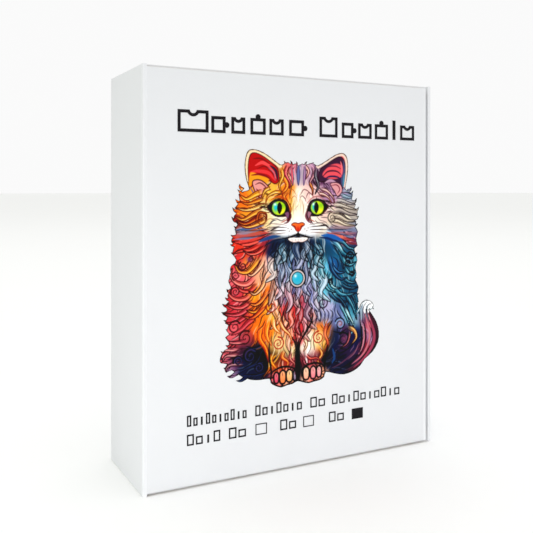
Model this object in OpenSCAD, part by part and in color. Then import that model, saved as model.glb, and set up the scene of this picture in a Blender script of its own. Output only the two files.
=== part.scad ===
// Boxed jigsaw puzzle: an upright folding carton with a printed hinged front,
// a picture card and a cat-shaped wooden jigsaw puzzle inside.
// X across the front, -Y out of the printed front, Z up. Sizes in mm.

/* [Carton] */
// Outside width of the carton
box_w = 143; // [120:0.5:160]
// Outside depth of the carton, print included
box_d = 47; // [35:0.5:60]
// Outside height of the carton
box_h = 170; // [150:0.5:200]
// Thickness of the corrugated board
board = 1.5; // [1:0.1:3]
// Chamfered radius of the folds at the back edges
fold_r = 1.2; // [0.4:0.1:1.4]
// Depth of the corner flaps caught in the end walls
corner_flap = 40; // [20:1:60]

/* [Lid] */
// How much shorter the lid is than the carton at each end
lid_inset = 1; // [0.5:0.1:3]
// Depth of the tuck flap behind the lid's free edge
tuck_depth = 18; // [10:1:20]
// Gap between the tuck flap and the wall it slides behind
tuck_gap = 1; // [0.8:0.1:2]
// Gap between a fold's bead and the board beside it
bead_gap = 0.15; // [0.1:0.05:0.4]

/* [Print] */
// Thickness of the printed layer
ink = 0.1; // [0.05:0.05:0.3]
// Stroke of the ornament row above the picture
title_stroke = 1.3; // [0.8:0.1:2]
// Stroke of the two ornament rows below the picture
caption_stroke = 0.6; // [0.4:0.05:1]
// Bottom of the ornament row above the picture
title_z = 143.8; // [140:0.1:150]
// Side of the tick squares
tick_size = 5.4; // [4:0.1:7]

/* [Contents] */
// Size of the puzzle compared with the printed picture
puzzle_scale = 1.55; // [1.2:0.01:1.57]
// Thickness of the wooden puzzle
puzzle_t = 4; // [2.5:0.1:5]
// Width of the cut between two pieces
kerf = 0.2; // [0.1:0.05:0.3]
// Radius of a puzzle piece's tab
tab_r = 1.9; // [1.5:0.1:2.4]
// Width of the picture card
card_w = 105; // [90:1:120]
// Height of the picture card
card_h = 148; // [120:1:156]
// Thickness of the picture card
card_t = 0.35; // [0.2:0.05:1]

/* [View] */
// Which piece to build

/* [Hidden] */
$fn = 48;
eps = 0.05;
hw = box_w / 2;
yf = -box_d / 2;
yb = box_d / 2;
yl = yf + ink;
inner_l = -hw + board;
inner_r = hw - board;
inner_b = yb - board;
lid_in = yl + board;
hinge_x = -hw + board / 2;
hinge_y = yl + board / 2;
flap_out = inner_r - tuck_gap;
flap_in = flap_out - board;
tuck_x = flap_out - board / 2;
liner_in = 3 * board;
roll_y = lid_in + 0.1;
fold_cut = 0.9;

// ---- the cat's outline, in mm on the front of the carton -------------------

cat_ctrl = [
    [-24, 137.6], [-20.5, 137.1], [-16.5, 135.3], [-13, 133], [-10, 131.2], [-8, 132.1],
    [-6.5, 132.4], [-4.8, 131.4], [-3, 131.9], [-1.5, 131.1], [0.5, 131.9], [2.5, 131.4],
    [4.6, 132.2], [6.6, 131.9], [8.5, 131.2], [13, 133.5], [17.5, 136.1], [21, 137],
    [23.2, 136], [24.2, 133], [24.2, 129], [23.6, 125], [22.8, 121], [24.6, 119.8],
    [26.8, 118.4], [26.4, 116.8], [26.9, 115], [28.5, 113.8], [27.6, 112.2], [29.3, 111.4],
    [29.2, 108.6], [27.6, 107.6], [28.7, 106], [28.2, 103.8], [29.6, 101.6], [28.6, 98.4],
    [29.4, 95.2], [27.7, 93.9], [28.4, 91.6], [29.3, 88.6], [28.2, 85.4], [28.9, 82.4],
    [28.3, 79.8], [30, 76.4], [29.2, 73.6], [29.9, 70.6], [29.6, 68.4], [30.1, 66.6],
    [31.2, 68.7], [33.4, 70.2], [36.2, 69.8], [38, 68.2], [38, 66.6], [36.6, 67],
    [35.4, 66.2], [36, 65.2], [37.8, 62.9], [39.9, 59.6], [41.2, 55.2], [40.7, 50.4],
    [37.6, 46.2], [33.2, 43.3], [31, 40.7], [27, 38.5], [22, 37.6], [17, 38.6],
    [12.6, 39.8], [11.6, 37.6], [9.2, 36.5], [6.4, 36.2], [3.6, 35.8], [0.8, 36.6],
    [-2, 37.4], [-4.2, 36.5], [-7, 36.2], [-10, 35.6], [-13, 36.7], [-15, 38.1],
    [-15.6, 40], [-20, 40], [-24.5, 40.6], [-29, 42.6], [-33.3, 45.6], [-35.8, 44.8],
    [-36.4, 46.8], [-35.4, 48.4], [-38.2, 49], [-38.5, 51.2], [-36.7, 54.1], [-34.8, 55],
    [-34.6, 57.4], [-36.2, 59.4], [-34.4, 60.6], [-35.6, 62.1], [-34.8, 64.4], [-36.3, 65.3],
    [-35.3, 67.7], [-37.3, 69], [-35.4, 70.6], [-36.1, 72.9], [-34.6, 74.2], [-35.2, 76.9],
    [-33.6, 79.4], [-34.3, 81.8], [-34.2, 85], [-32.8, 88.4], [-31.2, 91.3], [-33, 93.9],
    [-32.2, 97.2], [-33.4, 98.8], [-33.1, 100.4], [-31.3, 102], [-31.9, 104.1], [-30.6, 106],
    [-31.8, 107.4], [-32.2, 109.6], [-30.3, 111.6], [-31.9, 112.9], [-29.5, 115.6], [-30.1, 118.6],
    [-27.4, 119.9], [-25.2, 120.6], [-26.2, 123.6], [-27, 127], [-27.3, 131], [-26.7, 134.7],
    [-25.7, 136.8]];

n_ctrl = len(cat_ctrl);
function cr(a, b, c, d, t) = 0.5 * (2 * b + (c - a) * t + (2 * a - 5 * b + 4 * c - d) * t * t
    + (3 * b - a - 3 * c + d) * t * t * t);
cat_line = [for (i = [0:n_ctrl - 1]) for (s = [0:1])
    cr(cat_ctrl[(i + n_ctrl - 1) % n_ctrl], cat_ctrl[i], cat_ctrl[(i + 1) % n_ctrl],
        cat_ctrl[(i + 2) % n_ctrl], s / 2)];

module cat_flat() {
    polygon(cat_line);
}

// stands a flat drawing up: its y becomes z, and it fills y0 to y0 + t
module stand(y0, t) {
    translate([0, y0 + t, 0]) rotate([90, 0, 0]) linear_extrude(t) children();
}

module block(x0, x1, y0, y1, z0, z1) {
    translate([x0, y0, z0]) cube([x1 - x0, y1 - y0, z1 - z0]);
}

// ---- carton ------------------------------------------------------------------

slot_x = 35;
slot_w = 12;

module base_panel() color([0.93, 0.94, 0.95]) difference() {
    block(inner_l, inner_r, inner_b, yb, 0, box_h);
    for (x = [-slot_x, slot_x]) for (m = [0, 1])
        block(x - slot_w / 2 - 0.2, x + slot_w / 2 + 0.2, inner_b - 1, yb + 1,
            m == 0 ? 2 * board - 0.1 : box_h - liner_in - 0.1,
            m == 0 ? liner_in + 0.1 : box_h - 2 * board + 0.1);
}

// outside corner drawn as a short run of flats
function corner(cx, cy, r, a0) = [for (k = [0:4]) [cx + r * cos(a0 + 22.5 * k), cy + r * sin(a0 + 22.5 * k)]];

module hinge_wall() color([0.90, 0.91, 0.90])
    linear_extrude(box_h) polygon(concat(
        [[-hw, hinge_y + board / 2 + bead_gap], [inner_l, hinge_y + board / 2 + bead_gap], [inner_l, yb]],
        corner(-hw + fold_r, yb - fold_r, fold_r, 90)));

module tuck_wall() color([0.90, 0.91, 0.90])
    linear_extrude(box_h) polygon(concat(
        [[inner_r, yl], [hw, yl]],
        corner(hw - fold_r, yb - fold_r, fold_r, 0),
        [[inner_r, yb]]));

module end_wall_bottom() color([0.92, 0.93, 0.94])
    block(inner_l, inner_r, roll_y, inner_b, 0, board);

module end_wall_top() color([0.92, 0.93, 0.94])
    block(inner_l, inner_r, roll_y, inner_b, box_h - board, box_h);

module end_liner_bottom() color([0.74, 0.60, 0.43])
    block(inner_l, inner_r, roll_y, inner_b, 2 * board, liner_in);

module end_liner_top() color([0.74, 0.60, 0.43])
    block(inner_l, inner_r, roll_y, inner_b, box_h - liner_in, box_h - 2 * board);

module end_roll_bottom() color([0.92, 0.93, 0.94])
    block(inner_l, inner_r, roll_y, roll_y + board, board, 2 * board);

module end_roll_top() color([0.92, 0.93, 0.94])
    block(inner_l, inner_r, roll_y, roll_y + board, box_h - 2 * board, box_h - board);

module corner_flap_pair(z) {
    y0 = roll_y + board + 0.5;
    translate([0, 0, z]) linear_extrude(board) {
        polygon([[inner_l, y0], [inner_l + corner_flap - 4, y0 + 2], [inner_l + corner_flap, y0 + 6],
            [inner_l + corner_flap, inner_b - 5], [inner_l + corner_flap - 4, inner_b - 1], [inner_l, inner_b - 0.5]]);
        polygon([[inner_r, y0], [inner_r - corner_flap + 4, y0 + 2], [inner_r - corner_flap, y0 + 6],
            [inner_r - corner_flap, inner_b - 5], [inner_r - corner_flap + 4, inner_b - 1], [inner_r, inner_b - 0.5]]);
    }
}

module corner_flaps_bottom() color([0.74, 0.60, 0.43]) corner_flap_pair(board);

module corner_flaps_top() color([0.74, 0.60, 0.43]) corner_flap_pair(box_h - 2 * board);

module lock_tabs() color([0.74, 0.60, 0.43])
    for (x = [-slot_x, slot_x]) for (z = [2 * board, box_h - liner_in])
        block(x - slot_w / 2, x + slot_w / 2, inner_b, yb - 0.1, z, z + board);

module lid_crease() color([0.92, 0.93, 0.94])
    translate([hinge_x, hinge_y, 0]) cylinder(r = board / 2, h = box_h);

// ---- lid -----------------------------------------------------------------------

module lid_panel() color([0.93, 0.94, 0.95]) {
    x0 = hinge_x + board / 2 + bead_gap;
    x1 = tuck_x - board / 2 - bead_gap;
    translate([0, 0, lid_inset]) linear_extrude(box_h - 2 * lid_inset)
        polygon([[x0, yl], [x1, yl], [x1, lid_in - fold_cut], [x1 - fold_cut, lid_in], [x0, lid_in]]);
}

module tuck_crease() color([0.93, 0.94, 0.95])
    translate([tuck_x, hinge_y, lid_inset]) cylinder(r = board / 2, h = box_h - 2 * lid_inset);

module picture_print() color([0.88, 0.45, 0.28]) stand(yf, ink) cat_flat();

// one ornament: an outlined puzzle-piece shape, or a plain bar when it is narrow
module ornament(x, w, h, s, up) {
    k = h * 0.17;
    if (w < 3 * s) translate([x, 0]) square([w, h]);
    else translate([x, 0]) difference() {
        union() {
            square([w, h]);
            if (up == 1) translate([w / 2, h + k * 0.45]) circle(k);
            if (up == 2) translate([w + k * 0.45, h / 2]) circle(k);
        }
        difference() {
            translate([s, s]) square([w - 2 * s, h - 2 * s]);
            if (up == 0) translate([w / 2, h + k * 0.1]) circle(k + s);
        }
        if (up == 0) translate([w / 2, h + k * 0.1]) circle(k);
    }
}

title_h = 9;
title_low = 6.9;
title_row = [[-57, 13.4, title_h, 0], [-42.4, 6.4, title_low, 2], [-33.4, 6.4, title_low, 0],
    [-24.6, 7.2, title_low, 1], [-15.6, 6.9, title_low, 0], [-6, 7.4, title_low, 2],
    [9.3, 9.4, title_h, 0], [21, 6.2, title_low, 2], [29.8, 7.4, title_low, 0],
    [39, 7.4, title_low, 1], [49, 1.7, title_h, 0], [53.4, 8.2, title_low, 0]];

module title_marks() color([0.10, 0.10, 0.11]) stand(yf, ink)
    for (g = title_row) translate([0, title_z]) ornament(g[0], g[1], g[2], title_stroke, g[3]);

// words of small marks: start, end, number of marks, bottom
caption_rows = [[-53, -25.5, 10, 24.9], [-22.3, 1.2, 7, 24.9], [4.6, 13, 2, 24.9], [15.8, 53.8, 10, 24.9],
    [-53, -37.5, 4, 17.2], [-34.5, -25.8, 2, 17.2], [-10.4, -1.7, 2, 17.2], [14.2, 22.9, 2, 17.2]];

module caption_marks() color([0.13, 0.13, 0.14]) stand(yf, ink)
    for (g = caption_rows) for (i = [0:g[2] - 1]) {
        pitch = (g[1] - g[0]) / g[2];
        w = pitch - 0.9;
        h = (i == 0) ? 4.5 : ((i * 3) % 4 == 1 ? 4.5 : 3.3);
        translate([g[0] + pitch * i, g[3]])
            if (i % 3 == 2) translate([w / 2 - 0.4, 0]) square([0.8, h]);
            else difference() {
                square([w, h]);
                translate([caption_stroke, caption_stroke])
                    square([w - 2 * caption_stroke, h - 2 * caption_stroke]);
            }
    }

module tick_boxes() color([0.12, 0.12, 0.13]) stand(yf, ink) {
    for (x = [-22.2, 1]) translate([x, 16.9]) difference() {
        square([tick_size, 4.7]);
        translate([0.4, 0.4]) square([tick_size - 0.8, 3.9]);
    }
    translate([26.3, 16.8]) square([tick_size + 0.6, 4.7]);
}

// ---- tuck flap -------------------------------------------------------------------

// its root is cut back inside, so that it can fold towards the lid
module tuck_flap() color([0.92, 0.93, 0.94]) difference() {
    y0 = hinge_y + board / 2 + bead_gap;
    y1 = y0 + tuck_depth;
    translate([flap_out, 0, 0]) rotate([0, -90, 0]) linear_extrude(board)
        polygon([[6, y0], [box_h - 6, y0], [box_h - 7, y1 - 9], [box_h - 9, y1 - 4],
            [box_h - 14, y1], [14, y1], [9, y1 - 4], [7, y1 - 9]]);
    linear_extrude(box_h) polygon([[flap_in - 1, y0 - 1], [flap_in + fold_cut, y0 - 1],
        [flap_in + fold_cut - 0.15, y0], [flap_in, y0 + fold_cut - 0.15], [flap_in - 1, y0 + fold_cut - 0.15]]);
}

// ---- contents ---------------------------------------------------------------------

puzzle_y = inner_b - 0.1 - puzzle_t;
floor_z = liner_in + 0.1;
cat_cx = 1.35;
cat_low = 35.5;

module picture_card() color([0.95, 0.95, 0.94])
    block(-card_w / 2, card_w / 2, puzzle_y - 0.1 - card_t, puzzle_y - 0.1, floor_z, floor_z + card_h);

// the puzzle is drawn at the printed picture's size and scaled up at the end
kq = kerf / 2 / puzzle_scale;
tr = tab_r / puzzle_scale;
row_z = [30, 44, 52, 60.2, 66, 73.5, 81, 88.3, 95.6, 102.8, 110.2, 117.4, 125, 142];

// upright cuts of each row: x, and which way the tab points (0 for none)
cuts = [
    [[-22, 0], [-12, 1], [-2, -1], [7, 1], [17, -1], [26, 1]],
    [[-30, 1], [-22.8, -1], [-15.4, 1], [-7.2, -1], [0.3, 1], [7.8, -1], [15, 0], [22.2, 1], [30.6, -1]],
    [[-29.6, -1], [-22, 1], [-15, 0], [-7.8, 1], [-0.3, -1], [7.2, 1], [15, 0], [22.9, -1], [30.2, 1]],
    [[-29.8, 1], [-22.7, -1], [-15, 0], [-7.3, -1], [0.2, 1], [7.7, -1], [14.7, 1], [22.3, -1], [30, 1]],
    [[-29.4, -1], [-22.2, 1], [-15.3, -1], [-7.7, 1], [0, 0], [7.3, 1], [15.2, -1], [22.6, 1], [30, 0]],
    [[-28.4, 1], [-22.5, 0], [-14.7, 1], [-7.3, -1], [0, 0], [7.7, -1], [14.8, 1], [22.4, -1]],
    [[-22.5, 0], [-15.2, -1], [-7.7, 1], [0.2, -1], [7.3, 1], [15, 0], [22.7, 1]],
    [[-22.2, 1], [-14.8, -1], [-7.2, 1], [-0.2, -1], [7.8, 1], [15, 0], [22.2, -1]],
    [[-22.8, -1], [-15.3, 1], [-7.8, -1], [0.3, 1], [7.2, -1], [14.7, 1], [22.8, -1]],
    [[-22.3, 1], [-14.7, -1], [-7.4, 1], [-0.3, -1], [7.7, 1], [15.3, -1], [22.3, 1]],
    [[-22.7, -1], [-15.2, 1], [-7.6, -1], [0.2, 1], [7.4, -1], [14.8, 1], [22.6, -1]],
    [[-19, 1], [-13, -1], [-7, 1], [0, -1], [7, 1], [14.5, -1]],
    [[-18, -1], [-10, 1], [-1, -1], [7.5, 1], [15.5, -1]]];
// height of the tab on each upright cut, where it isn't half way up its row
cut_mid = [40.9, 48, 56.1, 63.1, 69.7, 77.2, 84.6, 92, 99.2, 106.5, 113.8, 121, 128.6];

// tabs across the level cut under each row, and which way the first one points
across = [
    [],
    [[-26.4, -17.2, -9.6, -4.6, 3.6, 12, 19.6, 28.4], 1],
    [[-33.4, -26, -18.8, -11.4, -3.8, 3.8, 26.4, 34.6], -1],
    [[-32.6, -26, -3.7, 3.7, 11.2, 18.6, 26.2, 34.4], 1],
    [[-32.4, -25.8, -18.8, -11.4, -3.7, 3.7, 11.2, 18.7, 26.3], -1],
    [[-32, -25.6, -18.8, -11.4, 11.2, 18.8, 26], 1],
    [[-11.3, -3.8, 3.9, 11.2, 18.9, 25.6], -1],
    [[-27.6, -18.7, -11.3, -3.7, 3.8, 25.6], 1],
    [[-27.4, -18.8, -11.2, -3.7, 3.8, 11.2, 18.7, 25.6], -1],
    [[-27, -18.8, -11.3, -3.8, 3.7, 11.3, 18.8, 25.5], 1],
    [[-27, -18.7, -11.3, -3.8, 3.8, 11.2, 18.7, 25.6], -1],
    [[-25.6, -17, -10.2, -3.6, 3.6, 11, 18.6], -1],
    [[-22, -15.5, -4, 3.2, 11, 19.5], 1]];

// whole-shape pieces: x, z of their centres
heart_at = [0, 73.5];
star_at = [-22.5, 81];
moon_at = [15.8, 88.3];
flower_at = [-15, 60.2];
fish_at = [15, 52];

function idx(r, x) = len([for (c = cuts[r]) if (c[0] < x) 1]);
function alt(i, d) = (i % 2 == 0) ? d : -d;

// pieces of row r whose place in the row is even (p = 0) or odd (p = 1)
module row_part(r, p) {
    n = len(cuts[r]);
    lo = row_z[r] + kq;
    hi = row_z[r + 1] - kq;
    difference() {
        union() {
            for (i = [0:n]) if (i % 2 == p) {
                xa = (i == 0) ? -45 : cuts[r][i - 1][0] + kq;
                xb = (i == n) ? 47 : cuts[r][i][0] - kq;
                translate([xa, lo]) square([xb - xa, hi - lo]);
            }
            for (i = [0:n - 1]) if (cuts[r][i][1] != 0) {
                owner = cuts[r][i][1] > 0 ? i : i + 1;
                if (owner % 2 == p)
                    translate([cuts[r][i][0] + cuts[r][i][1] * tr * 0.55, cut_mid[r]]) circle(tr - kq);
            }
            if (r > 0) for (j = [0:len(across[r][0]) - 1]) {
                x = across[r][0][j];
                if (alt(j, across[r][1]) < 0 && idx(r, x) % 2 == p)
                    translate([x, row_z[r] - tr * 0.55]) circle(tr - kq);
            }
            if (r < 12) for (j = [0:len(across[r + 1][0]) - 1]) {
                x = across[r + 1][0][j];
                if (alt(j, across[r + 1][1]) > 0 && idx(r, x) % 2 == p)
                    translate([x, row_z[r + 1] + tr * 0.55]) circle(tr - kq);
            }
        }
        for (i = [0:n - 1]) if (cuts[r][i][1] != 0) {
            owner = cuts[r][i][1] > 0 ? i : i + 1;
            if (owner % 2 != p)
                translate([cuts[r][i][0] + cuts[r][i][1] * tr * 0.55, cut_mid[r]]) circle(tr + kq);
        }
        if (r > 0) for (j = [0:len(across[r][0]) - 1]) {
            x = across[r][0][j];
            if (alt(j, across[r][1]) > 0 && idx(r, x) % 2 == p)
                translate([x, row_z[r] + tr * 0.55]) circle(tr + kq);
        }
        if (r < 12) for (j = [0:len(across[r + 1][0]) - 1]) {
            x = across[r + 1][0][j];
            if (alt(j, across[r + 1][1]) < 0 && idx(r, x) % 2 == p)
                translate([x, row_z[r + 1] - tr * 0.55]) circle(tr + kq);
        }
        shape_hole(r, heart_at, 4, 5) heart(kq);
        shape_hole(r, star_at, 5, 6) star(kq);
        shape_hole(r, moon_at, 6, 7) moon(kq);
        shape_hole(r, flower_at, 2, 3) flower(kq);
        shape_hole(r, fish_at, 1, 2) fish(kq);
    }
}

module shape_hole(r, at, ra, rb) {
    if (r == ra || r == rb) translate(at) children();
}

// shapes grow by g on every side
module heart(g) {
    for (s = [-1, 1]) translate([s * 1.75, 1.1]) circle(2.05 + g);
    polygon([[-3.45 - g * 1.2, 0.2], [0, -4.1 - g * 1.5], [3.45 + g * 1.2, 0.2], [1.8, 1.8], [-1.8, 1.8]]);
}

module star(g) {
    polygon([for (k = [0:9]) let (r = (k % 2 == 0 ? 4.4 : 2.1) + g * 1.5, a = 90 + 36 * k) [r * cos(a), r * sin(a)]]);
}

module moon(g) {
    difference() {
        circle(4.1 + g);
        translate([2.6, 0.9]) circle(3.1 - g);
    }
}

module flower(g) {
    for (k = [0:4]) translate([2.5 * cos(90 + 72 * k), 2.5 * sin(90 + 72 * k)]) circle(1.75 + g);
    circle(1.9 + g);
}

module fish(g) {
    translate([-1.3, 0]) circle(3 + g);
    polygon([[0, -1.1], [4.3 + g, -2.7 - g * 1.5], [3.5 + g, 0], [4.3 + g, 2.7 + g * 1.5], [0, 1.1]]);
}

// brings a flat drawing at the print's size to the puzzle's size and place
module as_puzzle(tint) {
    color(tint) stand(puzzle_y, puzzle_t)
        translate([0, floor_z]) scale(puzzle_scale) translate([-cat_cx, -cat_low]) children();
}

module puzzle_row(r) as_puzzle([0.86 - 0.03 * r, 0.45 + 0.02 * r, 0.30 + 0.04 * r]) {
    intersection() {
        cat_flat();
        row_part(r, 0);
    }
    intersection() {
        cat_flat();
        row_part(r, 1);
    }
}

module puzzle_row_01() puzzle_row(0);
module puzzle_row_02() puzzle_row(1);
module puzzle_row_03() puzzle_row(2);
module puzzle_row_04() puzzle_row(3);
module puzzle_row_05() puzzle_row(4);
module puzzle_row_06() puzzle_row(5);
module puzzle_row_07() puzzle_row(6);
module puzzle_row_08() puzzle_row(7);
module puzzle_row_09() puzzle_row(8);
module puzzle_row_10() puzzle_row(9);
module puzzle_row_11() puzzle_row(10);
module puzzle_row_12() puzzle_row(11);
module puzzle_row_13() puzzle_row(12);

module piece_heart() as_puzzle([0.8, 0.2, 0.3]) translate(heart_at) heart(-kq);
module piece_star() as_puzzle([0.9, 0.6, 0.2]) translate(star_at) star(-kq);
module piece_moon() as_puzzle([0.3, 0.5, 0.7]) translate(moon_at) moon(-kq);
module piece_flower() as_puzzle([0.9, 0.5, 0.6]) translate(flower_at) flower(-kq);
module piece_fish() as_puzzle([0.3, 0.3, 0.6]) translate(fish_at) fish(-kq);

// ---- assembly -----------------------------------------------------------------------

base_panel();
hinge_wall();
tuck_wall();
end_wall_bottom();
end_wall_top();
end_liner_bottom();
end_liner_top();
end_roll_bottom();
end_roll_top();
corner_flaps_bottom();
corner_flaps_top();
lock_tabs();
lid_crease();
lid_panel();
tuck_crease();
picture_print();
title_marks();
caption_marks();
tick_boxes();
tuck_flap();
picture_card();
puzzle_row_01();
puzzle_row_02();
puzzle_row_03();
puzzle_row_04();
puzzle_row_05();
puzzle_row_06();
puzzle_row_07();
puzzle_row_08();
puzzle_row_09();
puzzle_row_10();
puzzle_row_11();
puzzle_row_12();
puzzle_row_13();
piece_heart();
piece_star();
piece_moon();
piece_flower();
piece_fish();
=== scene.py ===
import math

import bmesh
import bpy
import numpy as np
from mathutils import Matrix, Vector, geometry


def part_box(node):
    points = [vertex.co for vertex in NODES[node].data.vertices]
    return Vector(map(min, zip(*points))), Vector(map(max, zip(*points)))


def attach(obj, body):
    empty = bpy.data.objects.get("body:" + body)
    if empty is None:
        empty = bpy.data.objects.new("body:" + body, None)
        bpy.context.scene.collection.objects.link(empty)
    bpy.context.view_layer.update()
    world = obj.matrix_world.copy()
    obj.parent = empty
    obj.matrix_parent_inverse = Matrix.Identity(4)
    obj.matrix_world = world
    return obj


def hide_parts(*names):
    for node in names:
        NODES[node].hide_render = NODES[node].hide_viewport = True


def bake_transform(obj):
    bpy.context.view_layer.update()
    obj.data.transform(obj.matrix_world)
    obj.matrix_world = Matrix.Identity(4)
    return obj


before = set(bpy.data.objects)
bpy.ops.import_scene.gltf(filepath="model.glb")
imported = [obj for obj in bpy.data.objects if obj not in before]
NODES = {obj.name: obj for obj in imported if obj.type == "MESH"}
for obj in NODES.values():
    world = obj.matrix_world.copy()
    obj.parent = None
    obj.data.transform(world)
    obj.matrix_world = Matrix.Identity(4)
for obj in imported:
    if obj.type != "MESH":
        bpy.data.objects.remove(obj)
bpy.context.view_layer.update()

bl_info = {
    "name": "Boxed Jigsaw Puzzle",
    "version": (1, 0, 0),
    "blender": (4, 5, 0),
    "location": "3D View > Sidebar > Puzzle Box",
    "description": "Carton with a printed hinged front, a picture card and a wooden cat puzzle",
    "category": "Object",
}

MM = 0.001
TO_MM = 1000
ROW_HEIGHT = 0.866     # height of a row of evenly spread points, as a share of their spacing
PUZZLE_ROWS = sorted(n for n in NODES if n.startswith("puzzle_row_"))
WHOLE_PIECES = sorted(n for n in NODES if n.startswith("piece_"))

# ---- the picture: a painter that colours points given in mm on the front ----------


def rgb(code):
    """Colour from six hex digits, as display values."""
    return np.array([int(code[i:i + 2], 16) / 255 for i in (0, 2, 4)])


def to_linear(c):
    """Display values as linear ones."""
    c = np.clip(c, 0, 1)
    return np.where(c <= 0.04045, c / 12.92, ((c + 0.055) / 1.055) ** 2.4)


def smooth_line(points, closed=False, steps=6):
    """Points on a smooth curve through the given ones."""
    p = np.array(points, float)
    if closed:
        q = np.vstack([p[-1], p, p[0], p[1]])
    else:
        q = np.vstack([2 * p[0] - p[1], p, 2 * p[-1] - p[-2]])
    out = []
    for i in range(1, len(q) - 2):
        a, b, c, d = q[i - 1:i + 3]
        for t in np.arange(steps) / steps:
            out.append(0.5 * (2 * b + (c - a) * t + (2 * a - 5 * b + 4 * c - d) * t ** 2
                              + (3 * b - a - 3 * c + d) * t ** 3))
    if not closed:
        out.append(p[-1])
    return np.array(out)


def ease(v, low, high):
    """0 below low, 1 above high and smooth between."""
    t = np.clip((v - low) / (high - low), 0, 1)
    return t * t * (3 - 2 * t)


class Painter:
    """Paints flat colour shapes over a set of points."""

    CELL = 2.0

    def __init__(self, x, z, soft):
        self.p = np.stack([x, z], 1)
        self.c = np.ones((len(x), 3))
        self.soft = soft
        # the points are kept in square cells, so that a shape looks only at those close by
        self.low = self.p.min(0)
        cell = ((self.p - self.low) / self.CELL).astype(int)
        self.across, self.up = cell.max(0) + 1
        key = cell[:, 1] * self.across + cell[:, 0]
        self.order = np.argsort(key, kind="stable")
        self.starts = np.searchsorted(key[self.order], np.arange(self.across * self.up + 1))

    def near(self, line, margin):
        """The points in the box round a line, widened by the margin."""
        low, high = line.min(0) - margin, line.max(0) + margin
        c0, r0 = np.clip(((low - self.low) / self.CELL).astype(int), 0, (self.across - 1, self.up - 1))
        c1, r1 = np.clip(((high - self.low) / self.CELL).astype(int), 0, (self.across - 1, self.up - 1))
        rows = [self.order[self.starts[r * self.across + c0]:self.starts[r * self.across + c1 + 1]]
                for r in range(r0, r1 + 1)]
        index = np.concatenate(rows)
        p = self.p[index]
        return index[((p > low) & (p < high)).all(1)]

    def put(self, index, alpha, colour):
        """Lays the colour over the points, as thickly as alpha says."""
        a = np.clip(alpha, 0, 1)[:, None]
        self.c[index] = self.c[index] * (1 - a) + colour * a

    def measure(self, index, line):
        """Distance to a line, how far along it, and on which side."""
        p = self.p[index]
        best = np.full(len(index), 1e9)
        along = np.zeros(len(index))
        side = np.zeros(len(index))
        seg = np.diff(line, axis=0)
        size = np.hypot(seg[:, 0], seg[:, 1]) + 1e-9
        start = np.concatenate([[0], np.cumsum(size)])
        for i in range(len(seg)):
            rel = p - line[i]
            t = np.clip(rel @ seg[i] / size[i] ** 2, 0, 1)
            off = rel - t[:, None] * seg[i]
            d = np.hypot(off[:, 0], off[:, 1])
            take = d < best
            best[take] = d[take]
            along[take] = (start[i] + t[take] * size[i]) / start[-1]
            side[take] = np.sign(seg[i, 0] * rel[take, 1] - seg[i, 1] * rel[take, 0])
        return best, along, side

    def stroke(self, points, width, colour, alpha=1.0, taper="both"):
        line = smooth_line(points)
        index = self.near(line, width + 0.4)
        if not len(index):
            return
        d, t, _ = self.measure(index, line)
        half = width / 2 * profile(t, taper)
        self.put(index, alpha * ease(-(d - half), -self.soft, self.soft), colour)

    def fill(self, points, colour, alpha=1.0, soft=None, edge=None, edge_width=0.3, fade=None):
        """A closed shape, with an edge line and a fade to a second colour (colour, angle) when asked."""
        line = smooth_line(points, True)
        ring = np.vstack([line, line[0]])
        index = self.near(line, 0.6 + (soft or 0))
        if not len(index):
            return
        d, _, _ = self.measure(index, ring)
        signed = np.where(inside(self.p[index], line), d, -d)
        soft = soft or self.soft
        tint = colour
        if fade is not None:
            other, angle = fade
            way = np.array([math.cos(math.radians(angle)), math.sin(math.radians(angle))])
            span = line @ way
            t = np.clip((self.p[index] @ way - span.min()) / (np.ptp(span) + 1e-9), 0, 1)[:, None]
            tint = colour * (1 - t) + other * t
        self.put(index, alpha * ease(signed, -soft, soft), tint)
        if edge is not None:
            self.put(index, ease(-(np.abs(d) - edge_width / 2), -self.soft, self.soft), edge)

    def lock(self, points, width, fill, line_colour, taper="tip", line_width=0.46, shine=None):
        """A lock of hair: a tapered band with a dark line on each side and a light one inside."""
        line = smooth_line(points)
        index = self.near(line, width + 0.5)
        if not len(index):
            return
        d, t, side = self.measure(index, line)
        half = width / 2 * profile(t, taper)
        root = 1.0 if taper == "both" else ease(t, 0.0, 0.35)
        self.put(index, root * ease(-(d - half), -self.soft, self.soft), fill)
        if shine is not None:
            off = np.abs(d * side - half * 0.35)
            self.put(index, 0.8 * root * ease(-(off - half * 0.22), -0.12, 0.12) * (d < half), shine)
            off = np.abs(d * side + half * 0.4)
            self.put(index, 0.75 * root * ease(-(off - half * 0.1), -0.12, 0.12) * (d < half), line_colour)
        edge = ease(-(np.abs(d - half) - line_width / 2), -self.soft, self.soft) * ease(t, 0.02, 0.2)
        self.put(index, edge, line_colour)

    def spiral(self, x, z, r, turns, start, colour, width, way, alpha=1.0):
        """A curl that winds inwards from the angle start; way is 1 or -1."""
        t = np.linspace(0, 1, int(10 * turns) + 4)
        a = math.radians(start) + way * 2 * math.pi * turns * t
        rad = r * (1 - t) ** 0.8 + 0.15
        pts = np.stack([x + rad * np.cos(a), z + rad * np.sin(a)], 1)
        self.stroke(pts, width * 1.6, colour, alpha, "tail")

    def glow(self, x, z, r, colour, alpha, squash=1.0, angle=0.0):
        """A soft round patch."""
        a = math.radians(angle)
        index = self.near(np.array([[x, z]]), 3.1 * r * max(1, squash))
        u, v = self.p[index, 0] - x, self.p[index, 1] - z
        u, v = u * math.cos(a) + v * math.sin(a), v * math.cos(a) - u * math.sin(a)
        self.put(index, alpha * np.exp(-0.5 * ((u / r) ** 2 + (v / (r * squash)) ** 2)), colour)


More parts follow.
